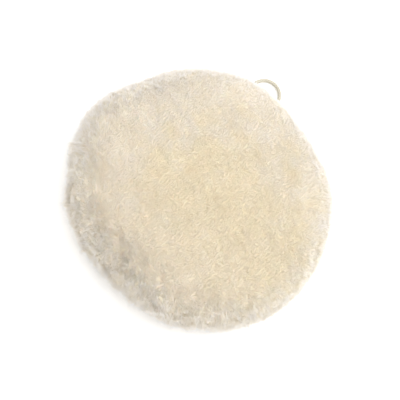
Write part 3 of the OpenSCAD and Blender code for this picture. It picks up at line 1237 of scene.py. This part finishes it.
@dataclass
class Stitches:
    """All the sewing: the rim seam, the strips' joins, the hem's two rows and the tacks at the exit."""

    measures: Measures
    gather: Gather
    finish: CottonFinish
    thread: float = 0.0007
    seam_pitch: float = 0.0020
    seam_leg: float = 0.0011
    row_stitch: float = 0.0030
    row_gap: float = 0.0006
    join_half: float = 0.0025
    join_pitch: float = 0.0020
    join_count: int = 5
    tack_width: float = 0.0018
    tack_length: float = 0.0026
    tack_stitches: int = 10
    tack_slant: float = 0.00012
    sunk: float = 0.0001
    lace_rise: float = 0.0009
    row_rise: float = 0.0006
    tack_rise: float = 0.0005
    seam_thinness: float = 0.72
    tack_thinness: float = 0.5
    seed: int = 77

    def laid(self, name: str, node: str, stitches: list[tuple[Place, Place, Place]],
             material: bpy.types.Material, width: float) -> None:
        """Lays a length of thread for each stitch.

        Args:
            name: The piece's name.
            node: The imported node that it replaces.
            stitches: Where each one leaves the work, bends towards and goes back in, as azimuth,
                radius and height.
            material: The thread's material.
            width: Thickness of the thread.
        """
        lines = []
        for rows in zip(*stitches):
            azimuth, radius, height = np.array(rows, float).T
            lines.append(self.gather.shifted(round_axis(radius, azimuth, height)))
        draw = np.random.default_rng(self.seed)
        piece = ThreadShape(6, 4, False).copies(name, *lines, width / 2, draw)
        grain = 0.5 + 0.5 * SoftNoise(0.0009, self.seed).at(mesh_points(piece))
        set_vertex_value(piece, "groove", np.clip(0.35 * grain, 0, 1))
        dress(piece, material, "thread", node)

    def rim_seam(self, material: bpy.types.Material) -> None:
        """Whips the skirt's upper edge to the face's hide, over the corner and back."""
        m, leg, low = self.measures, self.seam_leg, 0.0004
        count = round(TURN * m.cavity_radius / self.seam_pitch)
        turn = TURN / count
        under = m.seat_level + low
        stitches = []
        for i in range(count):
            wall = (i * turn, m.cavity_radius + self.sunk, under - leg)
            roof = ((i + 0.35) * turn, m.cavity_radius - leg, under + self.sunk)
            back = ((i + 1) * turn, m.cavity_radius + self.sunk, under - leg)
            corner = m.cavity_radius - 0.85 * leg, under - 0.85 * leg
            stitches.append((wall, ((i + 0.15) * turn, *corner), roof))
            stitches.append((roof, ((i + 0.7) * turn, *corner), back))
        self.laid("rim_seam_stitches", "face_seam_thread", stitches, material,
                  self.thread * self.seam_thinness)

    def strip_joins(self, material: bpy.types.Material) -> None:
        """Laces each pair of neighbouring strips together, across the join and slanting back."""
        m = self.measures
        reach = self.join_half / m.cavity_radius
        low = m.skirt_level + m.hide_thickness + m.bend
        on_wall, off_wall = m.cavity_radius + 2 * self.sunk, m.cavity_radius - self.lace_rise
        stitches = []
        for strip in range(STRIPS):
            at = m.join_azimuth(strip)
            for i in range(self.join_count):
                level = low + i * self.join_pitch
                above = min(level + self.join_pitch, low + (self.join_count - 1) * self.join_pitch)
                left, right = (at - reach, on_wall, level), (at + reach, on_wall, level)
                over = (at, off_wall, level)
                stitches += [(left, over, right), (right, over, (at - reach, on_wall, above))]
        self.laid("strip_lacing", "strip_join_stitches", stitches, material, self.thread)

    def hem_rows(self, material: bpy.types.Material) -> None:
        """Runs a row of straight stitches along the tape above the hide and another below it."""
        m = self.measures
        radius = (m.hide_edge_radius + m.tape_edge) / 2 + self.thread / 2
        sweep = TURN - 2 * m.exit_half_turn
        count = int(sweep * radius / (self.row_stitch + self.row_gap))
        turn, share = sweep / count, self.row_stitch / (self.row_stitch + self.row_gap)
        first = m.exit_azimuth + m.exit_half_turn + turn * (1 - share) / 2
        upper = m.skirt_level + m.hide_thickness + m.tape_thickness
        lower = m.skirt_level - m.tape_thickness
        stitches = []
        for level, out in ((upper, 1), (lower, -1)):
            for i in range(count):
                at = first + i * turn
                stitches.append(((at, radius, level - out * self.sunk),
                                 (at + share * turn / 2, radius, level + out * self.row_rise),
                                 (at + share * turn, radius, level - out * self.sunk)))
        self.laid("hem_running_stitches", "hem_stitching", stitches, material, self.thread)

    def exit_tacks(self, material: bpy.types.Material) -> None:
        """Packs two short tacks of close stitches beside the opening, so that the hem can't tear there."""
        m = self.measures
        level = m.skirt_level + m.hide_thickness + m.tape_thickness
        stitches = []
        for side in (-1, 1):
            steps = np.linspace(0, 1, self.tack_stitches)
            radii = m.hide_edge_radius + self.thread + self.tack_length * steps
            for i, radius in enumerate(radii):
                middle = m.exit_azimuth + side * (m.exit_half_turn + self.tack_width / radius)
                half = self.tack_width / 2 / radius * (-1) ** i
                stitches.append(((middle - half, radius, level - self.sunk),
                                 (middle, radius, level + self.tack_rise),
                                 (middle + half, radius + self.tack_slant, level - self.sunk)))
        self.laid("exit_tack_stitches", "exit_bartacks", stitches, material,
                  self.thread * self.tack_thinness)

    def build(self) -> None:
        """Builds all the stitches."""
        material = self.finish.material()
        self.rim_seam(material)
        self.strip_joins(material)
        self.hem_rows(material)
        self.exit_tacks(material)


# ---- Fleece ------------------------------------------------------
@dataclass(frozen=True)
class Bulge:
    """A soft swelling or dip in the rim: its azimuth and spread in degrees, and its rise in metres."""

    azimuth: float
    spread: float
    rise: float


@dataclass(frozen=True)
class Parting:
    """A short parting in the face's nap, between two points on it."""

    first: tuple[float, float]
    last: tuple[float, float]


@dataclass(frozen=True)
class Nap:
    """How the wool of one region grows and lies."""

    density: float
    lock_spacing: float
    lock_pull: float
    lean: float
    droop: float
    lock_scatter: float
    fibre_scatter: float
    lock_rise: float
    fibre_rise: float
    curl: float
    radius: float

    def towards(self, other: "Nap", share: np.ndarray) -> "Nap":
        """Gives a nap part of the way to another, with one value for each point."""
        mixed = {size.name: getattr(self, size.name) * (1 - share) + getattr(other, size.name) * share
                 for size in fields(self)}
        return Nap(**mixed)


class Region(Enum):
    """Parts of the fleece, which grow and lie in different ways."""

    FACE = "face"
    RIM = "rim"


FACE_NAP = Nap(density=2.95e6, lock_spacing=0.0028, lock_pull=0.14, lean=0.0008, droop=0.0,
               lock_scatter=0.00025, fibre_scatter=0.00045, lock_rise=0.00012, fibre_rise=0.0002,
               curl=0.0004, radius=0.00011)
RIM_NAP = Nap(density=1.85e6, lock_spacing=0.0042, lock_pull=0.4, lean=0.0004, droop=0.0009,
              lock_scatter=0.0010, fibre_scatter=0.0008, lock_rise=0.0007, fibre_rise=0.0006,
              curl=0.0011, radius=0.00013)


@dataclass
class Fleece:
    """The lambswool: an undercoat for each pile piece, and the fibres that stand out of it."""

    measures: Measures
    face_finish: FleeceFinish
    rim_finish: FleeceFinish
    # Finish of the undercoats, darker as painted shade of the pile's depth under the fibres.
    under_finish: FleeceFinish
    undercoat_depth: float = 0.0034
    root_depth: float = 0.0012
    undercoat_fill: float = 0.8
    fibre_fill: float = 0.7
    seam_gap: float = 0.0001
    skirt_inner_radius: float = 0.0784
    slit_blend: float = 0.0012
    hide_margin: float = 0.001
    table_clear: float = 0.0001
    comb_azimuth: float = math.radians(-27)
    rough_azimuth: float = math.radians(258)
    rough_mean: float = 0.72
    rough_swing: float = 0.46
    fly_share: float = 0.05
    fly_rise: float = 0.0016
    fly_looseness: float = 0.8
    lock_wander: float = 0.22
    seed_wander: float = 0.3
    bend_height: float = 0.72
    bend_follow: float = 0.12
    tone_middle: float = 0.45
    # Painted shade: fibres in the troughs of the streaks take more root colour.
    tone_streak: float = 0.28
    tone_scatter: float = 0.10
    # Painted shade: fibres take more root colour for each metre that they sink at partings and joins.
    tone_sunk: float = 300
    streak_draw: float = 0.3
    streak_rise: float = 0.0004
    uneven_from: tuple[float, float] = (0.066, 0.100)
    swell: tuple[float, float] = (0.00012, 0.0009)
    dimple: tuple[float, float] = (0.00008, 0.00045)
    seam_lean: float = 0.0003
    seam_spread: float = 0.0040
    join_lean: float = 0.0016
    join_spread: float = 0.0026
    join_sink: float = 0.0002
    parting_lean: float = 0.0004
    parting_spread: float = 0.0018
    parting_sink: float = 0.0006
    mesh_step: float = 0.0017
    face_sectors: int = 5
    strip_parts: int = 2
    seed: int = 407
    bulges: tuple[Bulge, ...] = (
        Bulge(99, 20, 0.0044), Bulge(151, 14, -0.0040), Bulge(180, 14, 0.0014), Bulge(207, 5, -0.0012),
        Bulge(258, 17, -0.0034), Bulge(333, 6, 0.0008), Bulge(39, 18, 0.0034),
    )
    partings: tuple[Parting, ...] = (
        Parting((-0.006, -0.004), (0.001, -0.012)), Parting((0.003, -0.011), (0.008, -0.021)),
        Parting((0.036, -0.023), (0.050, -0.028)), Parting((0.056, -0.004), (0.064, -0.014)),
        Parting((-0.034, -0.030), (-0.024, -0.042)),
    )

    def __post_init__(self) -> None:
        """Sets up the noises that all of the fleece's pieces share."""
        self.lumps = SoftNoise(0.016, self.seed + 1)
        self.dimples = SoftNoise(0.0075, self.seed + 2)
        self.swirl = SoftNoise(0.030, self.seed + 3)
        self.ridges = SoftNoise(0.0042, self.seed + 4)

    # -- the form that every piece of the fleece follows
    def outline(self, depth: float, step: float) -> tuple[np.ndarray, np.ndarray]:
        """Walks the half section from the axis over the face and round the rim to the skirt's inner edge.

        Args:
            depth: Distance inside the pile's mean surface.
            step: Distance between points.

        Returns:
            The points, as radius and height, and their outward normals.
        """
        m = self.measures
        top_r, low_r = m.top_round - depth, m.low_round - depth
        top_at = (m.pile_radius - m.top_round, m.pile_top - m.top_round)
        low_at = (m.pile_radius - m.low_round, m.low_round)
        face = straight((0, m.pile_top - depth), (top_at[0], m.pile_top - depth), step)
        shoulder = arc(top_at, top_r, 90, 0, round(top_r * math.pi / 2 / step))
        wall = straight((m.pile_radius - depth, top_at[1]), (m.pile_radius - depth, low_at[1]), step)
        under = arc(low_at, low_r, 0, -90, round(low_r * math.pi / 2 / step))
        foot = straight((low_at[0], depth), (self.skirt_inner_radius + depth / 2, depth), step)
        points = joined(face, shoulder, wall, under, foot)
        ahead = np.gradient(points, axis=0)
        normals = unit_rows(np.stack((-ahead[:, 1], ahead[:, 0]), 1))
        return points, normals

    def streaks_at(self, points: np.ndarray) -> np.ndarray:
        """Long soft streaks in the face's nap, drawn out along the way that it is combed."""
        along = points[:, 0] * math.cos(self.comb_azimuth) + points[:, 1] * math.sin(self.comb_azimuth)
        across = points[:, 1] * math.cos(self.comb_azimuth) - points[:, 0] * math.sin(self.comb_azimuth)
        return self.ridges.at(np.stack((along * self.streak_draw, across, points[:, 2]), 1))

    def outward(self, points: np.ndarray) -> np.ndarray:
        """Gives the fleece's outward direction near each point, the same on both sides of a parting."""
        m = self.measures
        section = self.section_of(points)
        core = section.copy()
        above = section[:, 1] > m.low_round
        core_radius = np.where(above, m.pile_radius - m.top_round, m.pile_radius - m.low_round)
        core[:, 0] = np.minimum(section[:, 0], core_radius)
        core[:, 1] = np.clip(section[:, 1], m.low_round, m.pile_top - m.top_round)
        away = unit_rows(section - core + (0, 1e-9))
        radial = unit_rows(points * LEVEL)
        return radial * away[:, :1] + UP * away[:, 1:]

    def roughness_at(self, azimuths: np.ndarray) -> np.ndarray:
        """How curly and uneven the rim is at each azimuth, from about 0.3 to 1.2."""
        return self.rough_mean + self.rough_swing * np.cos(azimuths - self.rough_azimuth)

    def formed(self, points: np.ndarray, normals: np.ndarray, depth: float = 0.0) -> np.ndarray:
        """Gives points of the plain outline the fleece's lumps, dimples and bulges.

        Args:
            points: Places on the plain form, or inside it.
            normals: Outward directions there.
            depth: How far inside it they are.

        Returns:
            Their places on the fleece.
        """
        skin = points + normals * depth
        radius, azimuth = radius_of(skin), azimuth_of(skin)
        outer = ease(radius, *self.uneven_from)
        rough = self.roughness_at(azimuth)
        swell = self.lumps.at(skin) * (self.swell[0] + self.swell[1] * outer * rough)
        swell += self.dimples.at(skin) * (self.dimple[0] + self.dimple[1] * outer * rough)
        moved = points + normals * swell[:, None]
        rise = np.zeros(len(points))
        for bulge in self.bulges:
            away = np.degrees(turn_between(azimuth, math.radians(bulge.azimuth)))
            rise += bulge.rise * np.exp(-(away / bulge.spread) ** 2)
        moved[:, :2] += unit_rows(points[:, :2]) * (rise * outer)[:, None]
        return moved

    def cleared(self, points: np.ndarray) -> np.ndarray:
        """Keeps points above the table and out of the passage that the cord runs through."""
        m, blend = self.measures, self.slit_blend
        moved = points.copy()
        in_slit = 1 - ease(np.abs(points[:, 0]), m.slit_width / 2 - blend, m.slit_width / 2 + blend)
        in_slit = in_slit * (points[:, 1] > 0)
        ceiling = m.skirt_level + 0.0004
        low = points[:, 2] < ceiling
        moved[:, 2] = np.where(low, points[:, 2] + (ceiling - points[:, 2]) * in_slit, points[:, 2])
        moved[:, 2] = np.maximum(moved[:, 2], self.table_clear)
        return moved

    # -- undercoats
    def cone_side(self, points: np.ndarray) -> np.ndarray:
        """How far each outline point is on the face's side of the parting at the rim."""
        m = self.measures
        return (points[:, 1] - m.face_level) - (points[:, 0] - m.hide_radius)

    def undercoat_outlines(self) -> tuple[np.ndarray, np.ndarray]:
        """Lays out the half sections of the face's undercoat and of a skirt strip's."""
        m, gap, step = self.measures, self.seam_gap, self.mesh_step
        skin, _ = self.outline(self.undercoat_depth, step)
        side = self.cone_side(skin)
        edges = [np.array([[np.interp(-at, -side, skin[:, axis]) for axis in range(2)]])
                 for at in (gap, -gap)]
        face_skin = np.concatenate((skin[side > gap], edges[0]))
        rim_skin = np.concatenate((edges[1], skin[side < -gap]))
        floor = straight((m.hide_radius - gap, m.face_level), (0, m.face_level), 0.006)
        wall = straight(tuple(face_skin[-1]), (m.hide_radius - gap, m.face_level), step)
        face = joined(face_skin, wall, floor)
        bend_at = m.bend_at
        inner = joined(
            straight(tuple(rim_skin[-1]), (self.skirt_inner_radius + 0.0006, m.skirt_level), step),
            straight((self.skirt_inner_radius + 0.0006, m.skirt_level), (bend_at[0], m.skirt_level), step),
            arc(bend_at, m.bend + m.hide_thickness, -90, 0, 9),
            straight((m.hide_radius, bend_at[1]), (m.hide_radius, m.face_level - gap), 0.003),
            straight((m.hide_radius, m.face_level - gap), tuple(rim_skin[0]), step),
        )
        return face, joined(rim_skin, inner)

    def undercoat(self, name: str, outline: np.ndarray, start: float, sweep: float) -> bpy.types.Object:
        """Models one undercoat: its section spun about the axis, then given the fleece's form.

        Args:
            name: The piece's name.
            outline: Its half section.
            start: Azimuth where it begins.
            sweep: Angle that it turns through.

        Returns:
            The undercoat.
        """
        steps = round(sweep * self.measures.pile_radius / self.mesh_step)
        piece = spun_body(name, outline, start, sweep, steps)
        points = mesh_points(piece)
        normals = self.outward(points)
        inner = self.on_hide(points)
        _, sink = self.parted(points + normals * self.undercoat_depth)
        formed = self.formed(points, normals, self.undercoat_depth) - normals * sink[:, None]
        formed = self.cleared(formed)
        set_mesh_points(piece, np.where(inner[:, None], self.cleared(points), formed))
        # The undercoat takes part of the root colour: painted shade of the pile's depth, with the roots'
        # yellower colour.
        set_vertex_value(piece, "along", np.full(len(points), 0.45))
        set_vertex_value(piece, "tone", 0.5 + 0.5 * self.dimples.at(points))
        piece.data.shade_smooth()
        return piece

    def on_hide(self, points: np.ndarray) -> np.ndarray:
        """Tells which points of an undercoat lie against the hides and stay where they are."""
        m = self.measures
        margin = self.hide_margin
        within = (radius_of(points) < m.hide_radius + margin) & (points[:, 2] < m.face_level + margin)
        return within & (points[:, 2] > m.skirt_level - margin / 2)

    # -- fibres
    def rim_share(self, line: np.ndarray) -> np.ndarray:
        """How far the nap has turned from the face's to the rim's at each radius and height."""
        return ease(-self.cone_side(line) / math.sqrt(2), -0.020, 0.004)

    def scatter(self, per_area: Callable[[Nap], np.ndarray], shift: float) -> tuple[np.ndarray, np.ndarray]:
        """Spreads points over the fleece as seeds lie in a sunflower, closer where the nap is denser.

        Args:
            per_area: Gives the number of points for each square metre from the nap there.
            shift: Turn added to every point.

        Returns:
            The points on the plain form, and their outward normals.
        """
        line, normals = self.outline(0, 0.0008)
        wanted = per_area(FACE_NAP.towards(RIM_NAP, self.rim_share(line)))
        gone = gone_along(line)
        ring = TURN * line[:, 0] * wanted
        grown = np.concatenate(([0], np.cumsum((ring[1:] + ring[:-1]) / 2 * np.diff(gone))))
        count = int(grown[-1])
        length = np.interp(np.arange(count) + 0.5, grown, gone)
        spacing = 1 / np.sqrt(np.interp(length, gone, wanted))
        draw = np.random.default_rng(self.seed + count)
        length = np.clip(length + draw.normal(0, self.seed_wander, count) * spacing, 0, gone[-1])
        radius, height = (np.interp(length, gone, line[:, axis]) for axis in range(2))
        outward, upward = (np.interp(length, gone, normals[:, axis]) for axis in range(2))
        azimuth = GOLDEN_TURN * np.arange(count) + shift
        azimuth = azimuth + draw.normal(0, self.seed_wander, count) * spacing / np.maximum(radius, spacing)
        return round_axis(radius, azimuth, height), unit_rows(round_axis(outward, azimuth, upward))

    def lean_at(self, nap: Nap, points: np.ndarray, normals: np.ndarray) -> np.ndarray:
        """Combed lean of the nap at each point, along the surface.

        Args:
            nap: How the region's wool lies.
            points: Places on the fleece.
            normals: Outward directions there.

        Returns:
            The sideways reach of the tips there.
        """
        heading = self.comb_azimuth + 0.6 * self.swirl.at(points)
        comb = np.stack((np.cos(heading), np.sin(heading), np.zeros(len(points))), 1)
        lean = comb * (nap.lean * (1 + 0.35 * self.swirl.at(points[:, [1, 2, 0]])))[:, None]
        lean -= UP * nap.droop[:, None]
        return lean - normals * (lean * normals).sum(1)[:, None]

    def parted(self, points: np.ndarray) -> tuple[np.ndarray, np.ndarray]:
        """Finds how the wool leans apart or together at its seams, joins and partings, and how it sinks.

        Args:
            points: Places on the fleece.

        Returns:
            The sideways reach and the sink at each point.
        """
        m = self.measures
        push, sink = np.zeros_like(points), np.zeros(len(points))
        radius, azimuth = radius_of(points), azimuth_of(points)
        outward = unit_rows(points * LEVEL)
        sideways = np.cross(UP, outward)
        seam_away = self.cone_side(np.stack((radius, points[:, 2]), 1)) / math.sqrt(2)
        over_seam = np.exp(-(seam_away / self.seam_spread) ** 2)
        push += unit_rows(outward - UP) * (np.tanh(seam_away / 0.0010) * over_seam * self.seam_lean)[:, None]
        skirt = ease(-seam_away, -0.001, 0.004)
        for strip in range(STRIPS):
            away = turn_between(azimuth, m.join_azimuth(strip)) * radius
            near = np.exp(-(away / self.join_spread) ** 2) * skirt
            push -= sideways * (np.tanh(away / 0.0008) * near * self.join_lean)[:, None]
            sink += near * self.join_sink
        for parting in self.partings:
            start, end = np.array(parting.first), np.array(parting.last)
            run = end - start
            share = np.clip(((points[:, :2] - start) @ run) / (run @ run), 0, 1)
            gap = points[:, :2] - (start + share[:, None] * run)
            away = np.linalg.norm(gap, axis=1)
            near = np.exp(-(away / self.parting_spread) ** 2) * (points[:, 2] > m.face_level)
            push[:, :2] += gap / np.maximum(away, 1e-6)[:, None] * (near * self.parting_lean)[:, None]
            sink += near * self.parting_sink
        return push, sink

    def fibres(self) -> dict[str, np.ndarray]:
        """Grows all the fibres, drawn together in locks.

        Returns:
            Roots, bends, tips, tones, radii, azimuths and side of the rim's parting, by name.
        """
        draw = np.random.default_rng(self.seed)
        plain, normals = self.scatter(lambda nap: nap.density, 0.0)
        lock_plain, lock_normals = self.scatter(lambda nap: 1 / nap.lock_spacing ** 2, 1.0)
        nap, lock_nap = (FACE_NAP.towards(RIM_NAP, self.rim_share(self.section_of(places)))
                         for places in (plain, lock_plain))
        lock_at = self.formed(lock_plain, lock_normals)
        tree = KDTree(len(lock_at))
        for i, place in enumerate(lock_plain):
            tree.insert(place, i)
        tree.balance()
        at = self.formed(plain, normals)
        wobble = plain + draw.normal(0, self.lock_wander, plain.shape) * nap.lock_spacing[:, None]
        lock = np.array([tree.find(place)[1] for place in wobble])
        rim = self.rim_share(self.section_of(lock_plain))
        rough = 1 + (self.roughness_at(azimuth_of(lock_at)) - 1) * rim
        lock_lean = self.lean_at(lock_nap, lock_at, lock_normals)
        lock_lean += draw.normal(0, 1, lock_at.shape) * (lock_nap.lock_scatter * rough)[:, None]
        push, sink = self.parted(plain)
        rise = draw.normal(0, 1, len(lock_at)) * lock_nap.lock_rise * rough
        fly = draw.uniform(0, 1, len(at)) < self.fly_share
        streak = self.streaks_at(plain)
        curly = rough[lock]
        height = rise[lock] + (draw.normal(0, 1, len(at)) + 1) * nap.fibre_rise * curly - sink
        height = height + streak * self.streak_rise
        height = height + fly * draw.uniform(0.2, 1.0, len(at)) * self.fly_rise
        pull = nap.lock_pull * (1 - self.fly_looseness * fly)
        tips = at + (lock_at[lock] - at) * pull[:, None] + lock_lean[lock] + push + normals * height[:, None]
        loose = nap.fibre_scatter * curly * (1 + self.fly_looseness * fly)
        tips += draw.normal(0, 1, at.shape) * loose[:, None]
        roots = at - normals * (self.undercoat_depth + self.root_depth)
        stand = self.undercoat_depth + self.root_depth + height
        bends = roots + normals * (self.bend_height * stand)[:, None] + (tips - at) * self.bend_follow
        bends += draw.normal(0, 1, at.shape) * (nap.curl * curly)[:, None]
        # Random tones for each lock and fibre, with painted shade in the streaks' troughs and where the wool
        # sinks.
        lock_tones = self.tone_scatter * draw.normal(0, 1, len(lock_at))
        tones = self.tone_middle - self.tone_streak * streak + lock_tones[lock]
        tones = tones + draw.normal(0, self.tone_scatter, len(at))
        tones = np.clip(tones + sink * self.tone_sunk, 0, 1)
        keep = ~self.in_passage(roots, tips)
        grown = {"roots": self.cleared(roots), "bends": self.cleared(bends), "tips": self.cleared(tips),
                 "tones": tones, "radii": nap.radius, "azimuths": azimuth_of(plain),
                 "face_side": self.cone_side(self.section_of(plain))}
        return {name: values[keep] for name, values in grown.items()}

    @staticmethod
    def section_of(points: np.ndarray) -> np.ndarray:
        """Radius and height of each point."""
        return np.stack((radius_of(points), points[:, 2]), 1)

    def in_passage(self, roots: np.ndarray, tips: np.ndarray) -> np.ndarray:
        """Tells which fibres would stand in the passage that the cord runs through."""
        m = self.measures
        found = np.zeros(len(roots), bool)
        for places in (roots, tips):
            inside = (np.abs(places[:, 0]) < m.slit_width / 2) & (places[:, 1] > 0)
            found |= inside & (places[:, 2] < m.skirt_level - self.hide_margin)
        return found

    # -- pieces
    def grow(self, region: Region, grown: dict[str, np.ndarray], material: bpy.types.Material, slot: str,
             cuts: list[tuple[str, float, float, str]]) -> None:
        """Makes the fibre pieces of one region.

        Args:
            region: The part of the fleece.
            grown: All the fibres, as fibres() gives them.
            material: The region's material.
            slot: The record's material slot.
            cuts: Name, first azimuth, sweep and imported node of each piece.
        """
        strand = ThreadShape(3, 2, True)
        draw = np.random.default_rng(self.seed)
        on_side = (grown["face_side"] > 0) == (region is Region.FACE)
        for name, start, sweep, node in cuts:
            part = on_side & ((grown["azimuths"] - start) % TURN < sweep)
            lines = (grown[end][part] for end in ("roots", "bends", "tips"))
            piece = strand.copies(name, *lines, grown["radii"][part], draw, grown["tones"][part])
            dress(piece, material, slot, node)

    def build(self) -> None:
        """Builds the undercoats and the fibres of the face and of the three skirt strips."""
        m = self.measures
        face_material, rim_material = self.face_finish.material(), self.rim_finish.material()
        undercoat_shade_material = self.under_finish.material()
        face_outline, rim_outline = self.undercoat_outlines()
        face = self.undercoat("face_undercoat", face_outline, 0.0, TURN)
        dress(face, undercoat_shade_material, "face_wool", "face_pile")
        strip_cuts = []
        for strip in range(STRIPS):
            node = f"skirt_pile_{strip + 1}"
            start = m.join_azimuth(strip)
            name = f"skirt_undercoat_{strip + 1}"
            piece = self.undercoat(name, rim_outline, m.strip_start(strip), m.strip_sweep)
            dress(piece, undercoat_shade_material, "rim_wool", node)
            part = TURN / STRIPS / self.strip_parts
            strip_cuts += [(f"skirt_fibres_{strip + 1}_{i + 1}", start + i * part, part, node)
                           for i in range(self.strip_parts)]
        part = TURN / self.face_sectors
        face_cuts = [(f"face_fibres_{i + 1}", i * part, part, "face_pile") for i in range(self.face_sectors)]
        grown = self.fibres()
        self.grow(Region.FACE, grown, face_material, "face_wool", face_cuts)
        self.grow(Region.RIM, grown, rim_material, "rim_wool", strip_cuts)


# ---- Stage -------------------------------------------------------
@dataclass
class Stage:
    """The table, the light and the camera, which are not part of the bonnet."""

    look_azimuth: float = -7.4
    look_elevation: float = 60.0
    roll: float = 43.0
    distance: float = 1.2
    view_width: float = 0.300
    aim: tuple[float, float, float] = (0.0, 0.0, 0.023)
    aim_offset: tuple[float, float] = (-0.0006, -0.0032)
    table_half: float = 4.0
    key_azimuth: float = 45.0
    key_elevation: float = 63.0
    key_power: float = 74.0
    key_size: float = 2.4
    key_distance: float = 3.5
    sky: Colour = (1.0, 1.0, 1.0)
    sky_strength: float = 1.23

    @staticmethod
    def direction(azimuth: float, elevation: float) -> Vector:
        """Unit vector towards an azimuth and an elevation in degrees."""
        a, e = math.radians(azimuth), math.radians(elevation)
        return Vector((math.cos(a) * math.cos(e), math.sin(a) * math.cos(e), math.sin(e)))

    def make_camera(self) -> None:
        """Puts up the camera, rolled about its own line of sight."""
        back = self.direction(self.look_azimuth - 90, self.look_elevation)
        level_right = Vector((0, 0, 1)).cross(back).normalized()
        level_up = back.cross(level_right)
        r = math.radians(self.roll)
        right = math.cos(r) * level_right + math.sin(r) * level_up
        up = back.cross(right)
        data = bpy.data.cameras.new("camera")
        data.sensor_width = 36.0
        data.lens = data.sensor_width * self.distance / self.view_width
        camera = bpy.data.objects.new("camera", data)
        target = Vector(self.aim) + right * self.aim_offset[0] + up * self.aim_offset[1]
        turn = Matrix((right, up, back)).transposed().to_4x4()
        camera.matrix_world = Matrix.Translation(target + back * self.distance) @ turn
        bpy.context.scene.collection.objects.link(camera)
        bpy.context.scene.camera = camera

    def make_light(self) -> None:
        """Sets an even pale sky and one large soft lamp from the side."""
        scene = bpy.context.scene
        scene.view_settings.view_transform = "Standard"
        world = scene.world or bpy.data.worlds.new("pale_sky")
        scene.world = world
        world.use_nodes = True
        backdrop = world.node_tree.nodes["Background"]
        backdrop.inputs["Color"].default_value = (*self.sky, 1.0)
        backdrop.inputs["Strength"].default_value = self.sky_strength
        lamp = bpy.data.lights.new("key_lamp", "AREA")
        lamp.energy, lamp.size, lamp.color = self.key_power, self.key_size, (1.0, 0.97, 0.92)
        holder = bpy.data.objects.new("key_lamp", lamp)
        towards = self.direction(self.key_azimuth, self.key_elevation)
        holder.location = towards * self.key_distance
        holder.rotation_mode = "QUATERNION"
        holder.rotation_quaternion = towards.to_track_quat("Z", "Y")
        scene.collection.objects.link(holder)

    def make_table(self) -> None:
        """Lays the table top, a slab with square edges."""
        deselect_all()
        bpy.ops.mesh.primitive_plane_add(size=2 * self.table_half, location=(0, 0, 0))
        table = bpy.context.object
        table.name = table.data.name = "table_top"
        with editing(table):
            bpy.ops.mesh.subdivide(number_cuts=3)
            bpy.ops.mesh.extrude_region_move(TRANSFORM_OT_translate={"value": (0, 0, -0.04)})
            turn_outwards()
        table.data.materials.append(TableFinish().material())


def main() -> None:
    """Builds the stage and the bonnet's pieces in order, and logs each one."""
    logging.basicConfig(level=logging.INFO, format="%(name)s %(message)s")
    stage = Stage()
    stage.make_camera()
    measures = Measures.of_frame()
    gather = Gather(measures)
    cotton = CottonFinish("cotton_cord", light=(0.63, 0.60, 0.51), groove=(0.42, 0.385, 0.305))
    Drawcord(measures, gather, cotton).build()
    Hides(measures, gather, SuedeFinish()).build()
    HemTape(measures, gather, TwillFinish()).build()
    thread = CottonFinish("sewing_thread", light=(0.84, 0.79, 0.66), groove=(0.60, 0.53, 0.40))
    Stitches(measures, gather, thread).build()
    # The undercoat's darker colours are painted shade of the pile's depth under the fibres.
    under = FleeceFinish("shaded_wool_undercoat", tip=(0.945, 0.90, 0.83), warm_tip=(0.93, 0.85, 0.68),
                         dull_tip=(0.91, 0.845, 0.77), root=(0.87, 0.78, 0.61))
    Fleece(measures, FleeceFinish("face_wool"), FleeceFinish("rim_wool"), under).build()
    stage.make_table()
    stage.make_light()


if __name__ == "__main__":
    main()
